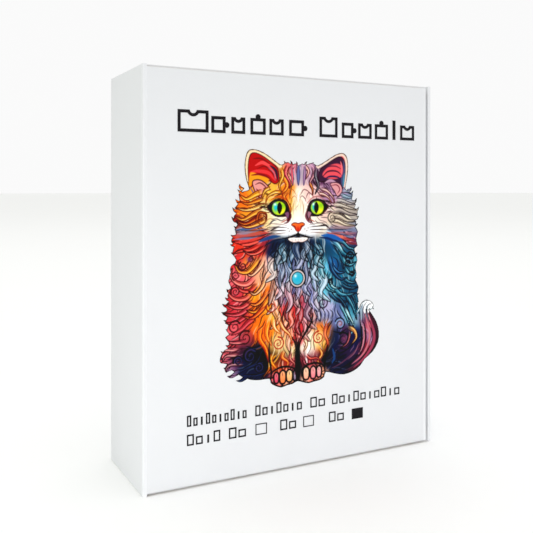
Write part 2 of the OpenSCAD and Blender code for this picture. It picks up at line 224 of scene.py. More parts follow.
def profile(t, taper):
    """How wide a line is along its length, as a share of its full width."""
    if taper == "both":
        return np.clip(np.sin(np.pi * np.clip(t, 0, 1)), 0, 1) ** 0.6
    if taper == "tip":
        return np.clip(1 - t, 0, 1) ** 0.55 * np.clip(0.55 + 2.2 * t, 0, 1)
    if taper == "tail":
        return np.clip(1 - 0.55 * t, 0, 1)
    return np.ones_like(t)


def inside(p, ring):
    """Which points lie inside a closed line."""
    result = np.zeros(len(p), bool)
    x, z = p[:, 0], p[:, 1]
    j = len(ring) - 1
    for i in range(len(ring)):
        xi, zi = ring[i]
        xj, zj = ring[j]
        if zi != zj:
            cross = (zi > z) != (zj > z)
            result ^= cross & (x < (xj - xi) * (z - zi) / (zj - zi) + xi)
        j = i
    return result


# the coat's paints
PAINTS = {
    "white": "ffffff", "cream": "fbf0e0", "straw": "f6dca0", "honey": "f4bc54", "amber": "f2a236",
    "orange": "f27c24", "rust": "c45a28", "brick": "a03426", "scarlet": "e2442e", "crimson": "cc3e48",
    "wine": "8a2636", "rose": "e87078", "blush": "f2ccc4", "peach": "f0ac88", "mauve": "b48cac",
    "lilac": "b8b2d0", "plum": "5a3052", "slate": "7078a4", "steel": "8a94ac", "ash": "b0a69e",
    "sand": "e0ceb8", "ice": "bce2ea", "aqua": "6cb6c8", "teal": "3a8098", "petrol": "1f5672",
    "cobalt": "2f6aa8", "navy": "1a2c50", "night": "0e1226",
}

# where each part of the coat takes which paint: x, z, name
COAT = {
    "ears":
        "-24 134 wine;-20 131 scarlet;-22 126 amber;-14 129 wine;18 131 rose;12 128 plum;21 126 rose",
    "crown":
        "-9 128 honey;-6 130 rose;-3 127 blush;-1.5 128 slate;2 128 blush;5 128 mauve;8 126 plum;"
        "-8 122 amber",
    "brow":
        "-8 119 orange;-4 115 honey;-1 117 cream;3 118 blush;7 119 blush;12 119 mauve;7 110 cream",
    "left cheek":
        "-15 120 honey;-22 118 amber;-28 115 orange;-20 113 straw;-26 110 amber;-31 107 brick;"
        "-22 107 rust;-17 107 straw;-12 106 cream",
    "right cheek":
        "17 119 mauve;24 118 steel;27 113 ash;21 113 sand;26 108 ash;16 109 sand;11 110 blush;21 105 sand",
    "muzzle":
        "-6 103 white;4 103 white;-1 110 cream;-1.5 106 white;-12 103 cream;10 103 cream",
    "under the cheeks":
        "-28 103 steel;-22 102 rust;-30 99 scarlet;-18 99 crimson;20 102 mauve;27 103 steel;23 99 rose;"
        "28 98 plum;16 99 cobalt",
    "left flank":
        "-28 96 scarlet;-22 95 scarlet;-31 91 crimson;-26 88 amber;-21 89 peach;-32 84 rose;-26 82 rose;"
        "-20 83 peach;-30 78 crimson;-23 77 amber;-18 77 orange;-34 72 crimson;-28 72 rose;-22 71 orange;"
        "-17 71 amber;-33 66 crimson;-27 65 crimson;-22 65 orange;-33 60 rose;-27 58 wine;-34 54 rose",
    "bib":
        "-13 95 navy;-6 96 petrol;2 96 navy;10 95 petrol;-9 91 teal;7 91 teal;-2 90 slate;-15 88 blush;"
        "-17 83 peach;-9 87 lilac;8 88 ice;12 86 aqua;-10 81 lilac;4 82 lilac;-7 77 slate;6 77 slate;"
        "12 78 aqua;-13 75 rose;-2 70 crimson;-6 65 scarlet;2 64 crimson;-2 58 crimson;4 67 mauve;"
        "9 70 lilac;13 70 lilac;9 64 slate",
    "right flank":
        "16 94 petrol;20 92 teal;26 93 petrol;28 88 aqua;22 87 petrol;17 87 cobalt;25 83 aqua;17 80 teal;"
        "21 78 teal;27 77 petrol;18 74 aqua;24 71 petrol;28 67 teal;20 67 slate;25 63 aqua;28 60 ice;"
        "19 61 slate",
    "legs":
        "-20 62 orange;-16 59 orange;-13 62 honey;-12 55 straw;-8 57 straw;-15 51 amber;-12 46 orange;"
        "-6 51 straw;-9 45 scarlet;-5 45 rose;9 60 orange;5 56 cream;9 54 straw;13 57 orange;4 50 cream;"
        "8 47 rose;3 46 wine;11 51 amber",
    "haunches":
        "-27 54 plum;-33 56 crimson;-20 51 navy;-26 47 navy;-32 49 plum;-36 50 rose;-35 46 mauve;"
        "-18 45 night;-22 42 navy;17 56 navy;23 57 plum;28 56 navy;17 50 navy;22 50 plum;17 45 navy;"
        "21 42 navy;27 46 plum;13 46 night",
    "tail":
        "33 48 wine;30 43 plum;25 40 night;37 53 mauve;35 58 rose;33 61 plum;39 56 plum;34 65 ice;"
        "36 68 white",
    "paws":
        "-12 40 rose;-9 40 peach;-6 40 peach;3 40 peach;6 40 rose;9 40 peach;-2 42 night",
}

# the way the hair lies: x, z, angle
FLOW = """
-22 130 300;18 130 240;-8 126 255;6 126 285;-20 118 170;-27 116 165;-28 109 175;-20 108 190;-10 119 200;
0 116 270;10 119 -20;20 118 15;26 114 10;26 108 -5;16 108 -10;-25 103 185;22 103 -5;-25 97 205;22 97 -30;
-28 88 250;-22 88 255;-30 78 215;-22 76 240;-33 70 190;-24 68 230;-18 64 255;-14 90 240;-8 90 290;8 90 250;
14 90 300;-8 78 280;8 78 260;0 66 270;18 84 290;26 84 280;18 74 300;25 72 290;24 62 285;16 60 250;
-14 52 262;-8 52 268;6 52 272;12 56 280;-28 56 200;-30 48 190;-20 46 215;20 52 200;20 42 190;28 44 20;
37 54 100;33 62 120;40 50 80;34 46 40
"""


def table(text, last=float):
    """Rows of x, z and one value, as an array of places and a list of values."""
    rows = [r.split() for r in text.replace("\n", "").split(";") if r.strip()]
    return np.array([[float(a), float(b)] for a, b, _ in rows]), [last(c) for _, _, c in rows]


COLOUR_DIGITS = 6


def shapes(text):
    """Rows of a table of shapes: the row's points, then its widths as numbers and its colours as written."""
    for row in text.strip().split("\n"):
        values, points = row.split(":")
        yield ([tuple(float(v) for v in point.split()) for point in points.split(",")],
               *(v if len(v) == COLOUR_DIGITS else float(v) for v in values.split()))


def shepard(p, at, values, reach):
    """Blends the values given at some places over the points; reach is how far each one counts, in mm."""
    total = np.zeros((len(p), values.shape[1]))
    weight = np.full(len(p), 1e-12)
    for (ax, az), v in zip(at, values):
        w = np.exp(-((p[:, 0] - ax) ** 2 + (p[:, 1] - az) ** 2) / (2 * reach ** 2))
        w += 1e-5 / (1 + (p[:, 0] - ax) ** 2 + (p[:, 1] - az) ** 2)
        total += w[:, None] * v
        weight += w
    return total / weight[:, None]


COAT_AT, COAT_COLOUR = table(";".join(COAT.values()), lambda name: rgb(PAINTS[name]))
COAT_COLOUR = np.array(COAT_COLOUR)
FLOW_AT, FLOW_ANGLE = table(FLOW)
FLOW_WAY = np.array([[math.cos(math.radians(a)), math.sin(math.radians(a))] for a in FLOW_ANGLE])

INK = rgb("1a1216")
STRAND_STEPS = 9
MIDDLE, CHEST_MIDDLE = -1.5, -1.9      # x of the cat's middle line, on its face and on its chest


def strands(b, count, seed, region=None, width=0.42, length=7.0):
    """Tapered hair strokes that follow the coat's lie, each a little off its ground colour."""
    rng = np.random.default_rng(seed)
    start = np.stack([rng.uniform(-39, 41, count), rng.uniform(35, 138, count)], 1)
    size = rng.uniform(0.5, 1.3, (count, 3))
    kind = rng.uniform(0, 1, count)
    path = [start]
    for _ in range(STRAND_STEPS):
        p = path[-1]
        way = shepard(p, FLOW_AT, FLOW_WAY, 5.0)
        turn = 0.75 * np.sin(p[:, 0] * 0.55 + p[:, 1] * 0.3) * np.sin(p[:, 1] * 0.43 - p[:, 0] * 0.2)
        way = way / (np.hypot(way[:, 0], way[:, 1])[:, None] + 1e-9)
        c, s = np.cos(turn), np.sin(turn)
        way = np.stack([way[:, 0] * c - way[:, 1] * s, way[:, 0] * s + way[:, 1] * c], 1)
        path.append(p + way * (length / STRAND_STEPS) * size[:, :1])
    path = np.stack(path, 1)
    ground = shepard(start, COAT_AT, COAT_COLOUR, 2.2)
    for i in range(count):
        if region is not None and not region(start[i]):
            continue
        g = ground[i]
        light = g.mean()
        if kind[i] < 0.5:
            tone = g * (0.26 if light > 0.35 else 0.35) * np.array([1.0, 0.86, 0.92])
            a, w = 0.92, width
        elif kind[i] < 0.78:
            tone = g + (1 - g) * (0.55 if light > 0.35 else 0.28)
            a, w = 0.75, width
        else:
            tone = np.clip(g * 1.35 - 0.12, 0, 1)
            a, w = 0.8, width * 1.4
        b.stroke(path[i][::3], w * size[i, 1], tone, a)


def curl(b, points, width, fill, line_colour, shine):
    b.lock(points, width, rgb(fill), rgb(line_colour), shine=rgb(shine))


def tress(b, points, width, lift, paint):
    """A lock in the coat's own colour where it lies, lighter or darker by lift, or half way to a paint."""
    ground = shepard(np.array(points, float), COAT_AT, COAT_COLOUR, 2.2).mean(0)
    if paint is not None:
        ground = 0.45 * ground + 0.55 * rgb(PAINTS[paint])
    fill = ground + (1 - ground) * lift if lift > 0 else ground * (1 + lift)
    b.lock(points, width, fill, ground * 0.25, shine=fill + (1 - fill) * 0.5, line_width=0.4)


# how much lighter or darker than the coat the locks of the chest are, in turn
LIFTS = (0.12, -0.15, 0.3, -0.08, 0.2)


def draw_coat(b):
    """The coat's ground colours, its darkest and brightest places and loose hair all over."""
    b.c[:] = shepard(b.p, COAT_AT, COAT_COLOUR, 1.9)
    for x, z, r, code, a, sq, ang in (
            (-18.5, 50, 3.0, "080a16", 0.9, 2.6, 75), (13.2, 46, 2.0, "0a0814", 0.9, 2.4, 80),
            (28, 53, 3.4, "061a50", 0.8, 1.5, 0), (-24, 44, 4.5, "101c3c", 0.6, 0.6, -10),
            (20, 45, 4.5, "18183a", 0.6, 1.0, 0), (-5, 97.5, 8, "14304e", 0.75, 0.3, 0),
            (22, 83, 3.5, "16405a", 0.5, 2.2, 0), (-17, 60, 3.5, "f27818", 0.6, 1.6, 70)):
        b.glow(x, z, r, rgb(code), a, sq, ang)
    strands(b, 1500, 11)


# red and orange curls of the left flank: width, fill, shine: points
LEFT_CURLS = """
2.2 e04038 f47a60: -22 99, -26 97.5, -30 98.5, -33 99
2.6 d83c38 f08068: -19 98, -24 95.5, -29 95, -32.6 93.8
2.0 e85048 f8a088: -17 97, -21 94, -25 93.5, -28 95
2.4 f0b088 fce0c0: -18 92, -20 88, -24 84.5, -27 86
2.6 f09a38 f8cc60: -20 93, -22.5 89, -26 86, -30 86.5, -32 90
1.8 e8603c f8a050: -24 91, -27 88, -30 88.5, -30.5 91
2.8 e87068 f8b0a0: -22 84, -26 81, -30.5 81.5, -33.6 84.5, -33 88
2.4 d84440 f08070: -21 81, -25 78, -29 78.5, -31.5 81
2.6 e06058 f09a88: -23 78, -27 75, -31.5 75, -34.6 77.5, -33.6 80.2
2.2 f4b078 fce0b0: -17.5 84, -19 79.5, -22.5 76.5, -25.5 78
2.4 f08038 f8b860: -16.5 79, -18 75, -22 72, -26 73
2.4 d04a50 f08c88: -24 74, -28 71.5, -32 71.5, -35.8 73
2.4 c84450 ec8484: -24 71.5, -29 68.8, -33 68.4, -37 69.2
2.2 c83e4c ea7c80: -25 68.5, -30 65.6, -33 65, -36.2 65.6
2.6 f89030 fcc458: -15.5 76, -18 72, -22.5 69, -26.5 70
2.4 e86030 f8a040: -17 72.5, -20 69, -24 66.5, -28 67.5
2.8 c43c48 e87478: -22 67, -26 64.5, -29 62, -33.5 60.2
"""

# frilled tips at the lower left: fill, shine: points
LEFT_TIPS = """
c87078 f0b8b0: -29 54.5, -33 54, -36.6 54.2, -38.3 51.5, -37 50
b86a70 f0c0b8: -29 51.5, -33 51.8, -36 51.6, -37.6 49.4
8a5868 e8b8b8: -27 47.5, -31 48, -34.6 47.6, -36.2 45.4, -35.4 44.6
c85a64 eea098: -27 57, -31 56.8, -34.6 57.4, -36 59.2
"""


def draw_left_body(b):
    """Red and orange curls down the left flank."""
    dark = "4a0c18"
    for pts, w, fill, shine in shapes(LEFT_CURLS):
        curl(b, pts, w, fill, dark, shine)
    for x, z, r, start, way, w in (
            (-32, 63.3, 2.7, 30, 1, 0.45), (-27, 58.3, 3.1, 60, 1, 0.5), (-31.5, 78, 2.0, 200, -1, 0.4),
            (-28.3, 88.4, 1.8, 120, 1, 0.45), (-31.5, 84.5, 1.7, 250, -1, 0.35),
            (-24.5, 91.2, 1.1, 0, 1, 0.35)):
        b.glow(x, z, r * 0.8, rgb("e87078"), 0.55)
        b.spiral(x, z, r, 1.7, start, rgb("3e0c18"), w, way)
    b.glow(-25.3, 91.2, 0.8, rgb("7a4a78"), 0.8)
    # frilled tips at the lower left
    for pts, fill, shine in shapes(LEFT_TIPS):
        curl(b, pts, 2.0, fill, "401428", shine)
    for x, z, r, start, way in ((-25, 50.8, 3.2, 40, 1), (-30.5, 49.2, 2.0, 200, -1),
                                (-21, 45.5, 2.2, 100, -1)):
        b.spiral(x, z, r, 1.8, start, rgb("06081a"), 0.55, way)
        b.spiral(x + 0.35, z - 0.25, r * 0.85, 1.5, start, rgb("4a4a80"), 0.28, way, 0.8)
    for pts in ([(-17, 56), (-22, 54), (-27, 55)], [(-18, 48), (-24, 46.8), (-30, 44.8)],
                [(-17, 43.4), (-22, 42.6), (-28, 43.2)], [(-19, 53), (-22, 48), (-28, 46)]):
        b.stroke(pts, 0.5, rgb("050814"), 0.9)
        b.stroke([(x, z - 0.5) for x, z in pts], 0.3, rgb("3a4a7a"), 0.7)


# blue and teal locks of the right flank: width, fill, shine: points
RIGHT_CURLS = """
2.6 7ab8c8 c8ecf0: 14.5 97.5, 18 96.5, 21 93, 22.5 88.5, 22 85
2.0 3a7a94 88c0cc: 17 98.6, 21.5 97, 24.5 94.5, 27.5 93.4, 29 90
2.4 1f5a74 5aa8bc: 20 94, 22.5 91.5, 26 90.4, 28.6 91.5
2.4 3f8aa2 98d0da: 20.5 91, 23 87.5, 26 86.6, 28.6 88
2.6 2a6498 6aa4cc: 14 92, 15.5 87, 19 83.6, 22.5 83.4
2.2 1c4870 5a90b8: 14.5 89, 16 84.5, 20 80.6, 24 81
1.8 4a94aa a0d8e0: 22.5 86, 24.5 83.2, 27.4 82.6, 27.6 84.6
2.2 58a8b8 b0e4ea: 13.5 86, 12 81, 13.5 76.6, 18 74.6
2.0 8acad4 d8f4f6: 15.5 84, 14.6 80, 16.6 77, 20.6 76.4
1.8 2c6a84 78b4c4: 22 81, 24.6 79, 27.6 78.6, 28.4 80.4
2.0 1a4058 5c98b0: 20 79, 23 76.8, 26.6 76, 29.6 76.4
2.2 3a84a0 8cc8d6: 17 77, 20 74, 24 73.2, 28.6 73.8
2.0 1f4e6c 62a0bc: 13.5 76.5, 16.5 72.6, 20.5 70.4, 25 70.4
1.8 123048 4a88a4: 16.5 74, 20.5 71, 23.6 67, 25.6 63
2.0 2f7690 86c4d2: 22 74, 25 70.6, 27.4 66.4, 29 61.6
1.5 163e54 5a9cb0: 26 74, 28 70, 29 66
1.6 68b4c4 c0eaee: 19.5 70, 22 66, 24.2 61.6, 25.4 58
1.8 a8dfe6 e2f8f8: 22 68.5, 24.6 64, 26.6 60.6, 27.6 57.6
"""

# strokes over the right haunch: width, colour: points
HAUNCH_HAIR = """
0.6 060a1c: 16 57.6, 20 56.6, 24 58.2
0.6 0a0818: 16.4 49, 20 47.4, 25 49.4, 29 53
1.2 2a5488: 15.6 43, 17 46, 16 50
0.7 0a1028: 17.6 42, 19.4 46, 18 50
0.7 6a4258: 15 41, 20 42.6, 26 46, 30.6 50
0.6 120a18: 19 40.2, 25 42.2, 31 46.4
0.5 5a3a50: 22 39.2, 27 40.8, 31 43.4
0.4 a06a7a: 24 44, 28 47, 30.4 51.6
"""


def draw_right_body(b):
    """Blue and teal hair down the right flank."""
    for pts, w, fill, shine in shapes(RIGHT_CURLS):
        curl(b, pts, w, fill, "081c2c", shine)
    for x, z, r, start, way in (
            (25.6, 90.6, 2.0, 200, -1), (26.4, 82.4, 1.2, 180, -1), (15.2, 79.6, 1.2, 60, 1),
            (20, 60.4, 2.7, 150, -1), (21.8, 53.4, 3.0, 130, -1), (24, 87.4, 1.3, 20, 1)):
        b.spiral(x, z, r, 1.7, start, rgb("060e20"), 0.5, way)
    b.glow(20, 60.6, 1.0, rgb("d8a0a8"), 0.8)
    b.spiral(20, 60.4, 2.2, 1.4, 170, rgb("8aa4cc"), 0.35, -1)
    b.glow(22.4, 53.6, 1.2, rgb("8a4a6a"), 0.8)
    b.lock([(23.4, 59), (27.4, 57), (28.6, 53.6), (26, 50.6)], 2.4, rgb("dd9a58"), rgb("2a1428"),
           shine=rgb("f6d088"))
    b.lock([(24.6, 58), (25, 55), (23.6, 51.4), (20, 49.4)], 1.7, rgb("9a4c5c"), rgb("1a0c20"),
           shine=rgb("d88a88"))
    for pts, w, code in shapes(HAUNCH_HAIR):
        b.stroke(pts, w, rgb(code), 0.9)


# strokes along the tail: width, colour: points
TAIL_HAIR = """
1.5 a84c64: 27 40, 33 43.8, 37.4 49, 38.6 54, 36.8 60, 34.8 64.6
1.1 c87884: 26 41.6, 31.6 45, 35 49.6, 36 55, 34.6 60, 33.2 65
1.2 3a1c34: 28 43.6, 31.6 47.4, 33.6 52, 33.6 57, 32.4 61
0.7 d8909c: 29.4 45, 32 49, 33 54, 32.2 59
1.0 161226: 30.4 46, 31.6 51, 31.4 57, 30.6 62
0.8 2a1424: 30 40.4, 36 45.4, 40 51, 39.6 57
2.0 f2f2f4: 33.4 64, 33 67, 34.4 69, 36.6 69
1.3 9aaab8: 31.6 61, 31.4 65, 32.2 68.4
1.2 ffffff: 35.2 64, 35.6 66.4, 37 67.4
0.45 2a2030: 34.4 62, 34.2 65.6, 35.4 68, 37.4 68.2
0.4 2c2c38: 32.6 60, 32.2 64, 32.8 67.4, 34.6 69.4
0.6 101c2c: 30.8 62, 30.4 66
0.5 d8a0a8: 36.4 60.6, 35.2 63.6
"""


def draw_tail(b):
    """The tail rises at the right, striped in plum, rose and white."""
    b.lock([(24, 39), (31, 41.2), (37, 46), (40, 52), (39, 58), (36.4, 62.6), (34.6, 66)], 4.6,
           rgb("4c2638"), rgb("1a0c18"), taper="both")
    for pts, w, code in shapes(TAIL_HAIR):
        b.stroke(pts, w, rgb(code), 0.95)


def draw_chest(b):
    """A plain wavy mane from the chin down to the legs, with a round tag on it."""
    mid = CHEST_MIDDLE
    for x, z, r, name, alpha in ((0, 65, 4.6, "crimson", 0.6), (-3, 62, 3.0, "scarlet", 0.6),
                                 (5, 69, 3.0, "mauve", 0.5), (0, 97, 7.0, "night", 0.6)):
        b.glow(mid + x, z, r, rgb(PAINTS[name]), alpha, 0.7 if z > 90 else 1.3)
    # broad pointed locks in tiers, from the lowest up, so that each lies over the one below:
    # height, half width, locks a side, length
    tiers = ((65.5, 4.5, 1, 12), (70.5, 7.5, 2, 12), (76, 11, 2, 12), (81.5, 12.5, 3, 12.5),
             (87, 13.5, 3, 13), (93, 13, 3, 12.5), (98.4, 11, 3, 11))
    for t, (z, half, count, length) in enumerate(tiers):
        for j in sorted(range(-count, count + 1), key=lambda v: -abs(v)):
            u = j / count
            bow = 1.3 if (j + t) % 2 else -0.9
            fall = length * (1, 0.82, 1.12)[(j + 2 * t) % 3]
            low = z - 1.6 * u * u
            points = [(mid + u * half * 0.66, low), (mid + u * half * 0.92 + bow, low - fall * 0.34),
                      (mid + u * half * 0.9 - bow * 0.5, low - fall * 0.7),
                      (mid + u * half * 1.14 + bow, low - fall)]
            accent = ("ice" if u > 0 else "blush") if 76 < z < 93 and (j + t) % 3 == 0 else None
            tress(b, points, 4.6, LIFTS[(j + t) % len(LIFTS)], accent)
    strands(b, 900, 23, lambda p: abs(p[0] - mid) < 13 and 60 < p[1] < 98, 0.36, 5.0)
    for s in (-1, 1):
        for k in range(3):
            x = 2.4 + 3.6 * k
            b.stroke([(mid + s * x * 0.7, 98 - 0.4 * k), (mid + s * (x + 1.8), 92.4),
                      (mid + s * (x + 0.2), 86), (mid + s * (x + 1.4), 79)], 0.55, INK, 0.85)
        b.spiral(mid + s * 11.6, 93.2, 1.9, 1.4, 90 + s * 60, rgb("0d2234"), 0.4, s)
        low_curl = rgb("3c2340") if s > 0 else rgb("a33c1c")
        b.spiral(mid + s * 12.8, 70.4, 2.3, 1.6, 90 - s * 70, low_curl, 0.42, -s)
        b.stroke([(mid + s * 7.0, 69), (mid + s * 7.4, 63.6), (mid + s * 4.4, 58.4), (mid + s * 1.6, 54.8),
                  (mid + s * 0.8, 50)], 0.9, INK)
    for k in range(5):
        x = 6.5 + 2.0 * k
        b.stroke([(x, 69 - k * 0.4), (x + 1.6, 65.6), (x + 0.8, 61.6 + 0.3 * k)], 0.5, rgb("2c2c48"), 0.85)
        b.stroke([(x + 0.8, 69 - k * 0.4), (x + 2.4, 65.6), (x + 1.6, 62)], 0.4, rgb("b4b8d8"), 0.7)
    # a plain round tag
    tag_height = 82
    turn = np.linspace(0, 2 * math.pi, 21)[:-1]
    for radius, name, line in ((3.9, "blush", 0.6), (2.8, "aqua", 0.4)):
        ring = [(mid + radius * math.cos(a), tag_height + radius * math.sin(a)) for a in turn]
        b.fill(ring, rgb(PAINTS[name]), edge=INK, edge_width=line)
    b.glow(mid, tag_height, 1.7, rgb("28b4d4"), 0.85)
    b.glow(mid - 1.0, 83.1, 0.5, rgb(PAINTS["white"]), 0.8)


# locks down the legs: width, fill, edge, shine: points
LEG_LOCKS = """
2.6 f07c1c a02c10 fcb048: -19 64, -20.4 58, -17.4 53, -15.6 47
2.6 f8942c b03c14 fcc868: -16 65, -17 59, -14.6 54
1.7 f6c078 a83c18 fce8b8: -11.4 66, -9 61, -5.6 57.6, -4.6 53
2.0 fcd890 c05a20 fff0c8: -13.6 66, -13.2 61.6, -10 58.6
1.8 f8a428 b04810 fccc60: -13.6 51, -15 47.6, -12.4 44, -13 42.6
1.8 f08838 9a3010 fcc070: -8 52, -9.4 48.6, -6.6 46, -8.6 43
1.5 d8786c 702030 f4b8a0: -4.8 51, -5.6 47.6, -3.4 45, -4.4 42.6
2.0 e05a34 7a1c18 f8985c: 13.6 62, 12 57, 13.6 52.6, 12.2 49
1.6 fbe8c4 8a4a30 fff8e4: 1.4 56, 2.6 53, 1.2 50
1.6 f0a850 8a3018 fcd890: 8.8 51, 10.4 48, 8.4 45, 10.6 43.6
1.5 dc5a50 601828 f49a84: 2 49, 4.4 46.6, 8 46.4, 10.4 44
1.3 b85a68 401020 e89a98: 1 47, 1.8 44.6, 4.4 44
"""


def draw_legs(b):
    """The front legs and their toes."""
    for pts, w, fill, line, shine in shapes(LEG_LOCKS):
        curl(b, pts, w, fill, line, shine)
    # one plain curl on each leg
    for x, z, way in ((-11.4, 54.6, -1), (8.8, 55.4, 1)):
        b.glow(x, z, 2.6, rgb(PAINTS["straw"]), 0.7)
        b.spiral(x, z, 2.7, 1.9, 90, rgb("b02c18"), 0.42, way)
    # gap between the legs and the shade beside them
    b.fill([(-2.4, 56), (-1.9, 53.6), (-1.2, 56), (-0.6, 48), (-0.9, 38.2), (-2.9, 38.2), (-3, 48)],
           rgb("08060e"), soft=0.5)
    b.stroke([(-15.6, 56), (-15.8, 50), (-14.8, 43.4), (-15.2, 39)], 1.0, rgb("0a0610"), 0.9)
    b.stroke([(13.6, 52), (12.4, 47), (11.8, 42.6), (12.4, 39.6)], 1.2, rgb("0a0610"), 0.9)
    # toes
    for x, z, w, h, code, top in (
            (-12.3, 40, 1.25, 2.4, "d44c66", "f08a90"), (-9.2, 40, 1.6, 2.9, "f0824c", "fab888"),
            (-5.9, 40.2, 1.6, 2.7, "f4a870", "fcdca8"), (-3.2, 40, 0.9, 2.2, "8a7890", "c8b8c8"),
            (2.4, 40.3, 1.6, 2.8, "f4a890", "fcd8b8"), (6, 40.3, 1.5, 2.8, "e8808c", "f8b8b0"),
            (9, 40.4, 1.3, 2.5, "f0949a", "f8ccc4")):
        ring = [(x, z + h), (x + w * 0.8, z + h * 0.7), (x + w, z), (x + w * 0.75, z - h * 0.8), (x, z - h),
                (x - w * 0.75, z - h * 0.8), (x - w, z), (x - w * 0.8, z + h * 0.7)]
        b.fill(ring, rgb(code), edge=rgb("160a14"), edge_width=0.8, fade=(rgb(top), 90))
        b.stroke([(x - w * 0.1, z + h * 0.75), (x, z + h * 0.1)], 0.35, rgb("5a1c28"), 0.7)
    for x0, x1 in ((-15, -2.6), (0, 12)):
        c = (x0 + x1) / 2
        b.stroke([(x0, 39), (x0 + 1, 42.8), (c, 44.4), (x1 - 1, 43), (x1, 39)], 0.9, rgb("120812"), 0.95)


# level bands under the cheeks: width, colour: points
CHEEK_BANDS = """
1.1 4f6f9e: -31.6 103.8, -25 104.2, -18 105.4
1.0 a08898: -31 102.4, -24 102.8, -17 104
1.1 c4605c: -32 101.2, -25 101.4, -17 102.8
0.9 6f7fa6: -32.4 99.8, -25 100.2, -18 101.6
1.2 e0504a: -32 98.6, -26 99, -19 100.4
1.0 ee6a5c: -29 97, -23 98, -18 99.4
1.6 2e5a92: -21 98.4, -15 100.2, -10 100.6
1.0 16304e: -18 96.8, -13 98.8, -9 99.4
0.35 3a2430: -29 103.4, -20 103.2, -13 104.2
0.35 5a2030: -30 100.6, -22 100.8, -14 102.4
0.4 7a1420: -31 97.8, -25 98.2, -20 99.6
1.1 a08890: 29 104, 22 103.6, 13 103.6
1.0 7880a0: 29 102.4, 22 102.2, 13 102.6
1.0 9a6a78: 28.8 101, 23 100.8, 15 101.8
1.3 e07a66: 25 97.8, 19 100, 13 101.6
1.9 2f6cb4: 22 97.4, 16 99.8, 10 100.4
1.1 123a6a: 19 97, 14 98.8, 9 99.6
1.0 7c84a4: 28.6 99.4, 25 99.4, 20 101
0.9 a84a50: 28 97.6, 25 98, 21.6 99
0.9 8a3c44: 28.6 96, 25.6 96.4, 23 97.8
0.35 2e2630: 27 103, 20 102.8, 13 103
0.35 382a3c: 28 100.2, 22 100.2, 15 101.4
0.8 c8b09a: 26 104.6, 20 105, 15 106.4
"""


def draw_bands(b):
    """Level bands of colour under the cheeks."""
    for pts, w, code in shapes(CHEEK_BANDS):
        b.stroke(pts, w, rgb(code), 0.92)


# flame locks on the left cheek, then silver ones on the right: width, fill, edge, shine: points
CHEEK_LOCKS = """
2.6 f2ae34 8a3a10 fcd878: -18 120, -22 118.6, -26.4 116.6, -29.6 118.4
1.9 e88a28 7a2a10 f8c060: -18 117, -22 115.6, -26 114.6, -29.4 115.6
2.2 f0c068 6a2414 fce8a8: -17 114.6, -22 112.8, -27 112, -31.4 112.9
2.4 e89a38 6a1c10 f8cc68: -18 112.4, -23 110.4, -28 108, -31.9 109.4
2.4 b8441c 4a1010 f0a040: -17 110.6, -22 108.2, -27 106.2, -31.4 107.6
2.0 f0a848 7a2a14 fce090: -16 108.4, -21 106, -26 104.8, -30 105.8
1.8 8aa2b4 5a6470 c8dce6: 20 118.6, 23 117.4, 25.6 117, 26.8 118.2
1.9 bcb4b0 5c545a dcd6ce: 17 116, 21 115.6, 25 114.4, 28.2 113.9
2.0 c8bcb0 5a504c e6dccc: 16 114, 20 113.6, 24.6 112.4, 28.8 111.4
2.4 a89c98 463c40 d4c8b8: 16 111.6, 20 111.4, 25 109.6, 29.2 109.4
2.4 c8b8a8 524844 e8dcc4: 15.4 109, 19.6 108.6, 24 106.6, 28.4 106.6
1.8 e8d8c0 6a5a50 f6ecd4: 14 106.8, 18.6 106.6, 23 104.8, 27.8 104.4
"""

# locks on the brow, the forehead and round the eyes: width, fill, edge, shine: points
BROW_LOCKS = """
2.3 f29434 9a3c14 fcc864: -8.2 131.6, -9 127, -7 122.4, -9 118.4, -6.4 114
1.9 f4b43c 8a4a18 fce08c: -10.4 130.6, -9.2 126.6, -10.8 122.4, -9.8 119.4
1.9 e8646c 7a2030 f8a8a0: -6.4 131.8, -7.8 127.6, -5.6 123.6, -6 121
1.8 f2a4a0 8a3848 fcd8cc: -3.4 131.4, -5.6 128.6, -3.8 125
1.8 e6aca4 6a3844 f8dccc: 1.2 131.4, 3.6 128.6, 2 125
1.9 c88a98 4a2838 eabcc0: 5.6 131.4, 6.4 127.6, 4.4 123.6, 5.4 120.6
1.7 78707c 2c2430 b8b0b8: 7.8 130.8, 7.2 126.6, 8.6 122.4, 7 118.6
1.3 e88c44 6a2818 f8c080: 4 124, 5.6 121, 5.8 118.2
1.6 f6c050 8a4a18 fce8a0: -14.4 121.6, -17.8 120, -19.2 116.4
1.5 f8c858 9a5018 fff0b8: -9.6 119.4, -13 119.4, -16.4 117.6, -17.4 115
1.6 e8bcb4 6a3a44 fce0d8: 9 121, 13 120, 16 117.4, 17.2 114.6
1.4 f2cabc 7a4444 fff0e4: 8 118.6, 11 118.6, 14 117, 15.6 114.6
1.8 f08c30 8a3410 fcc060: -5.6 120.4, -8.6 117.6, -5.6 112.6, -6.4 108
"""


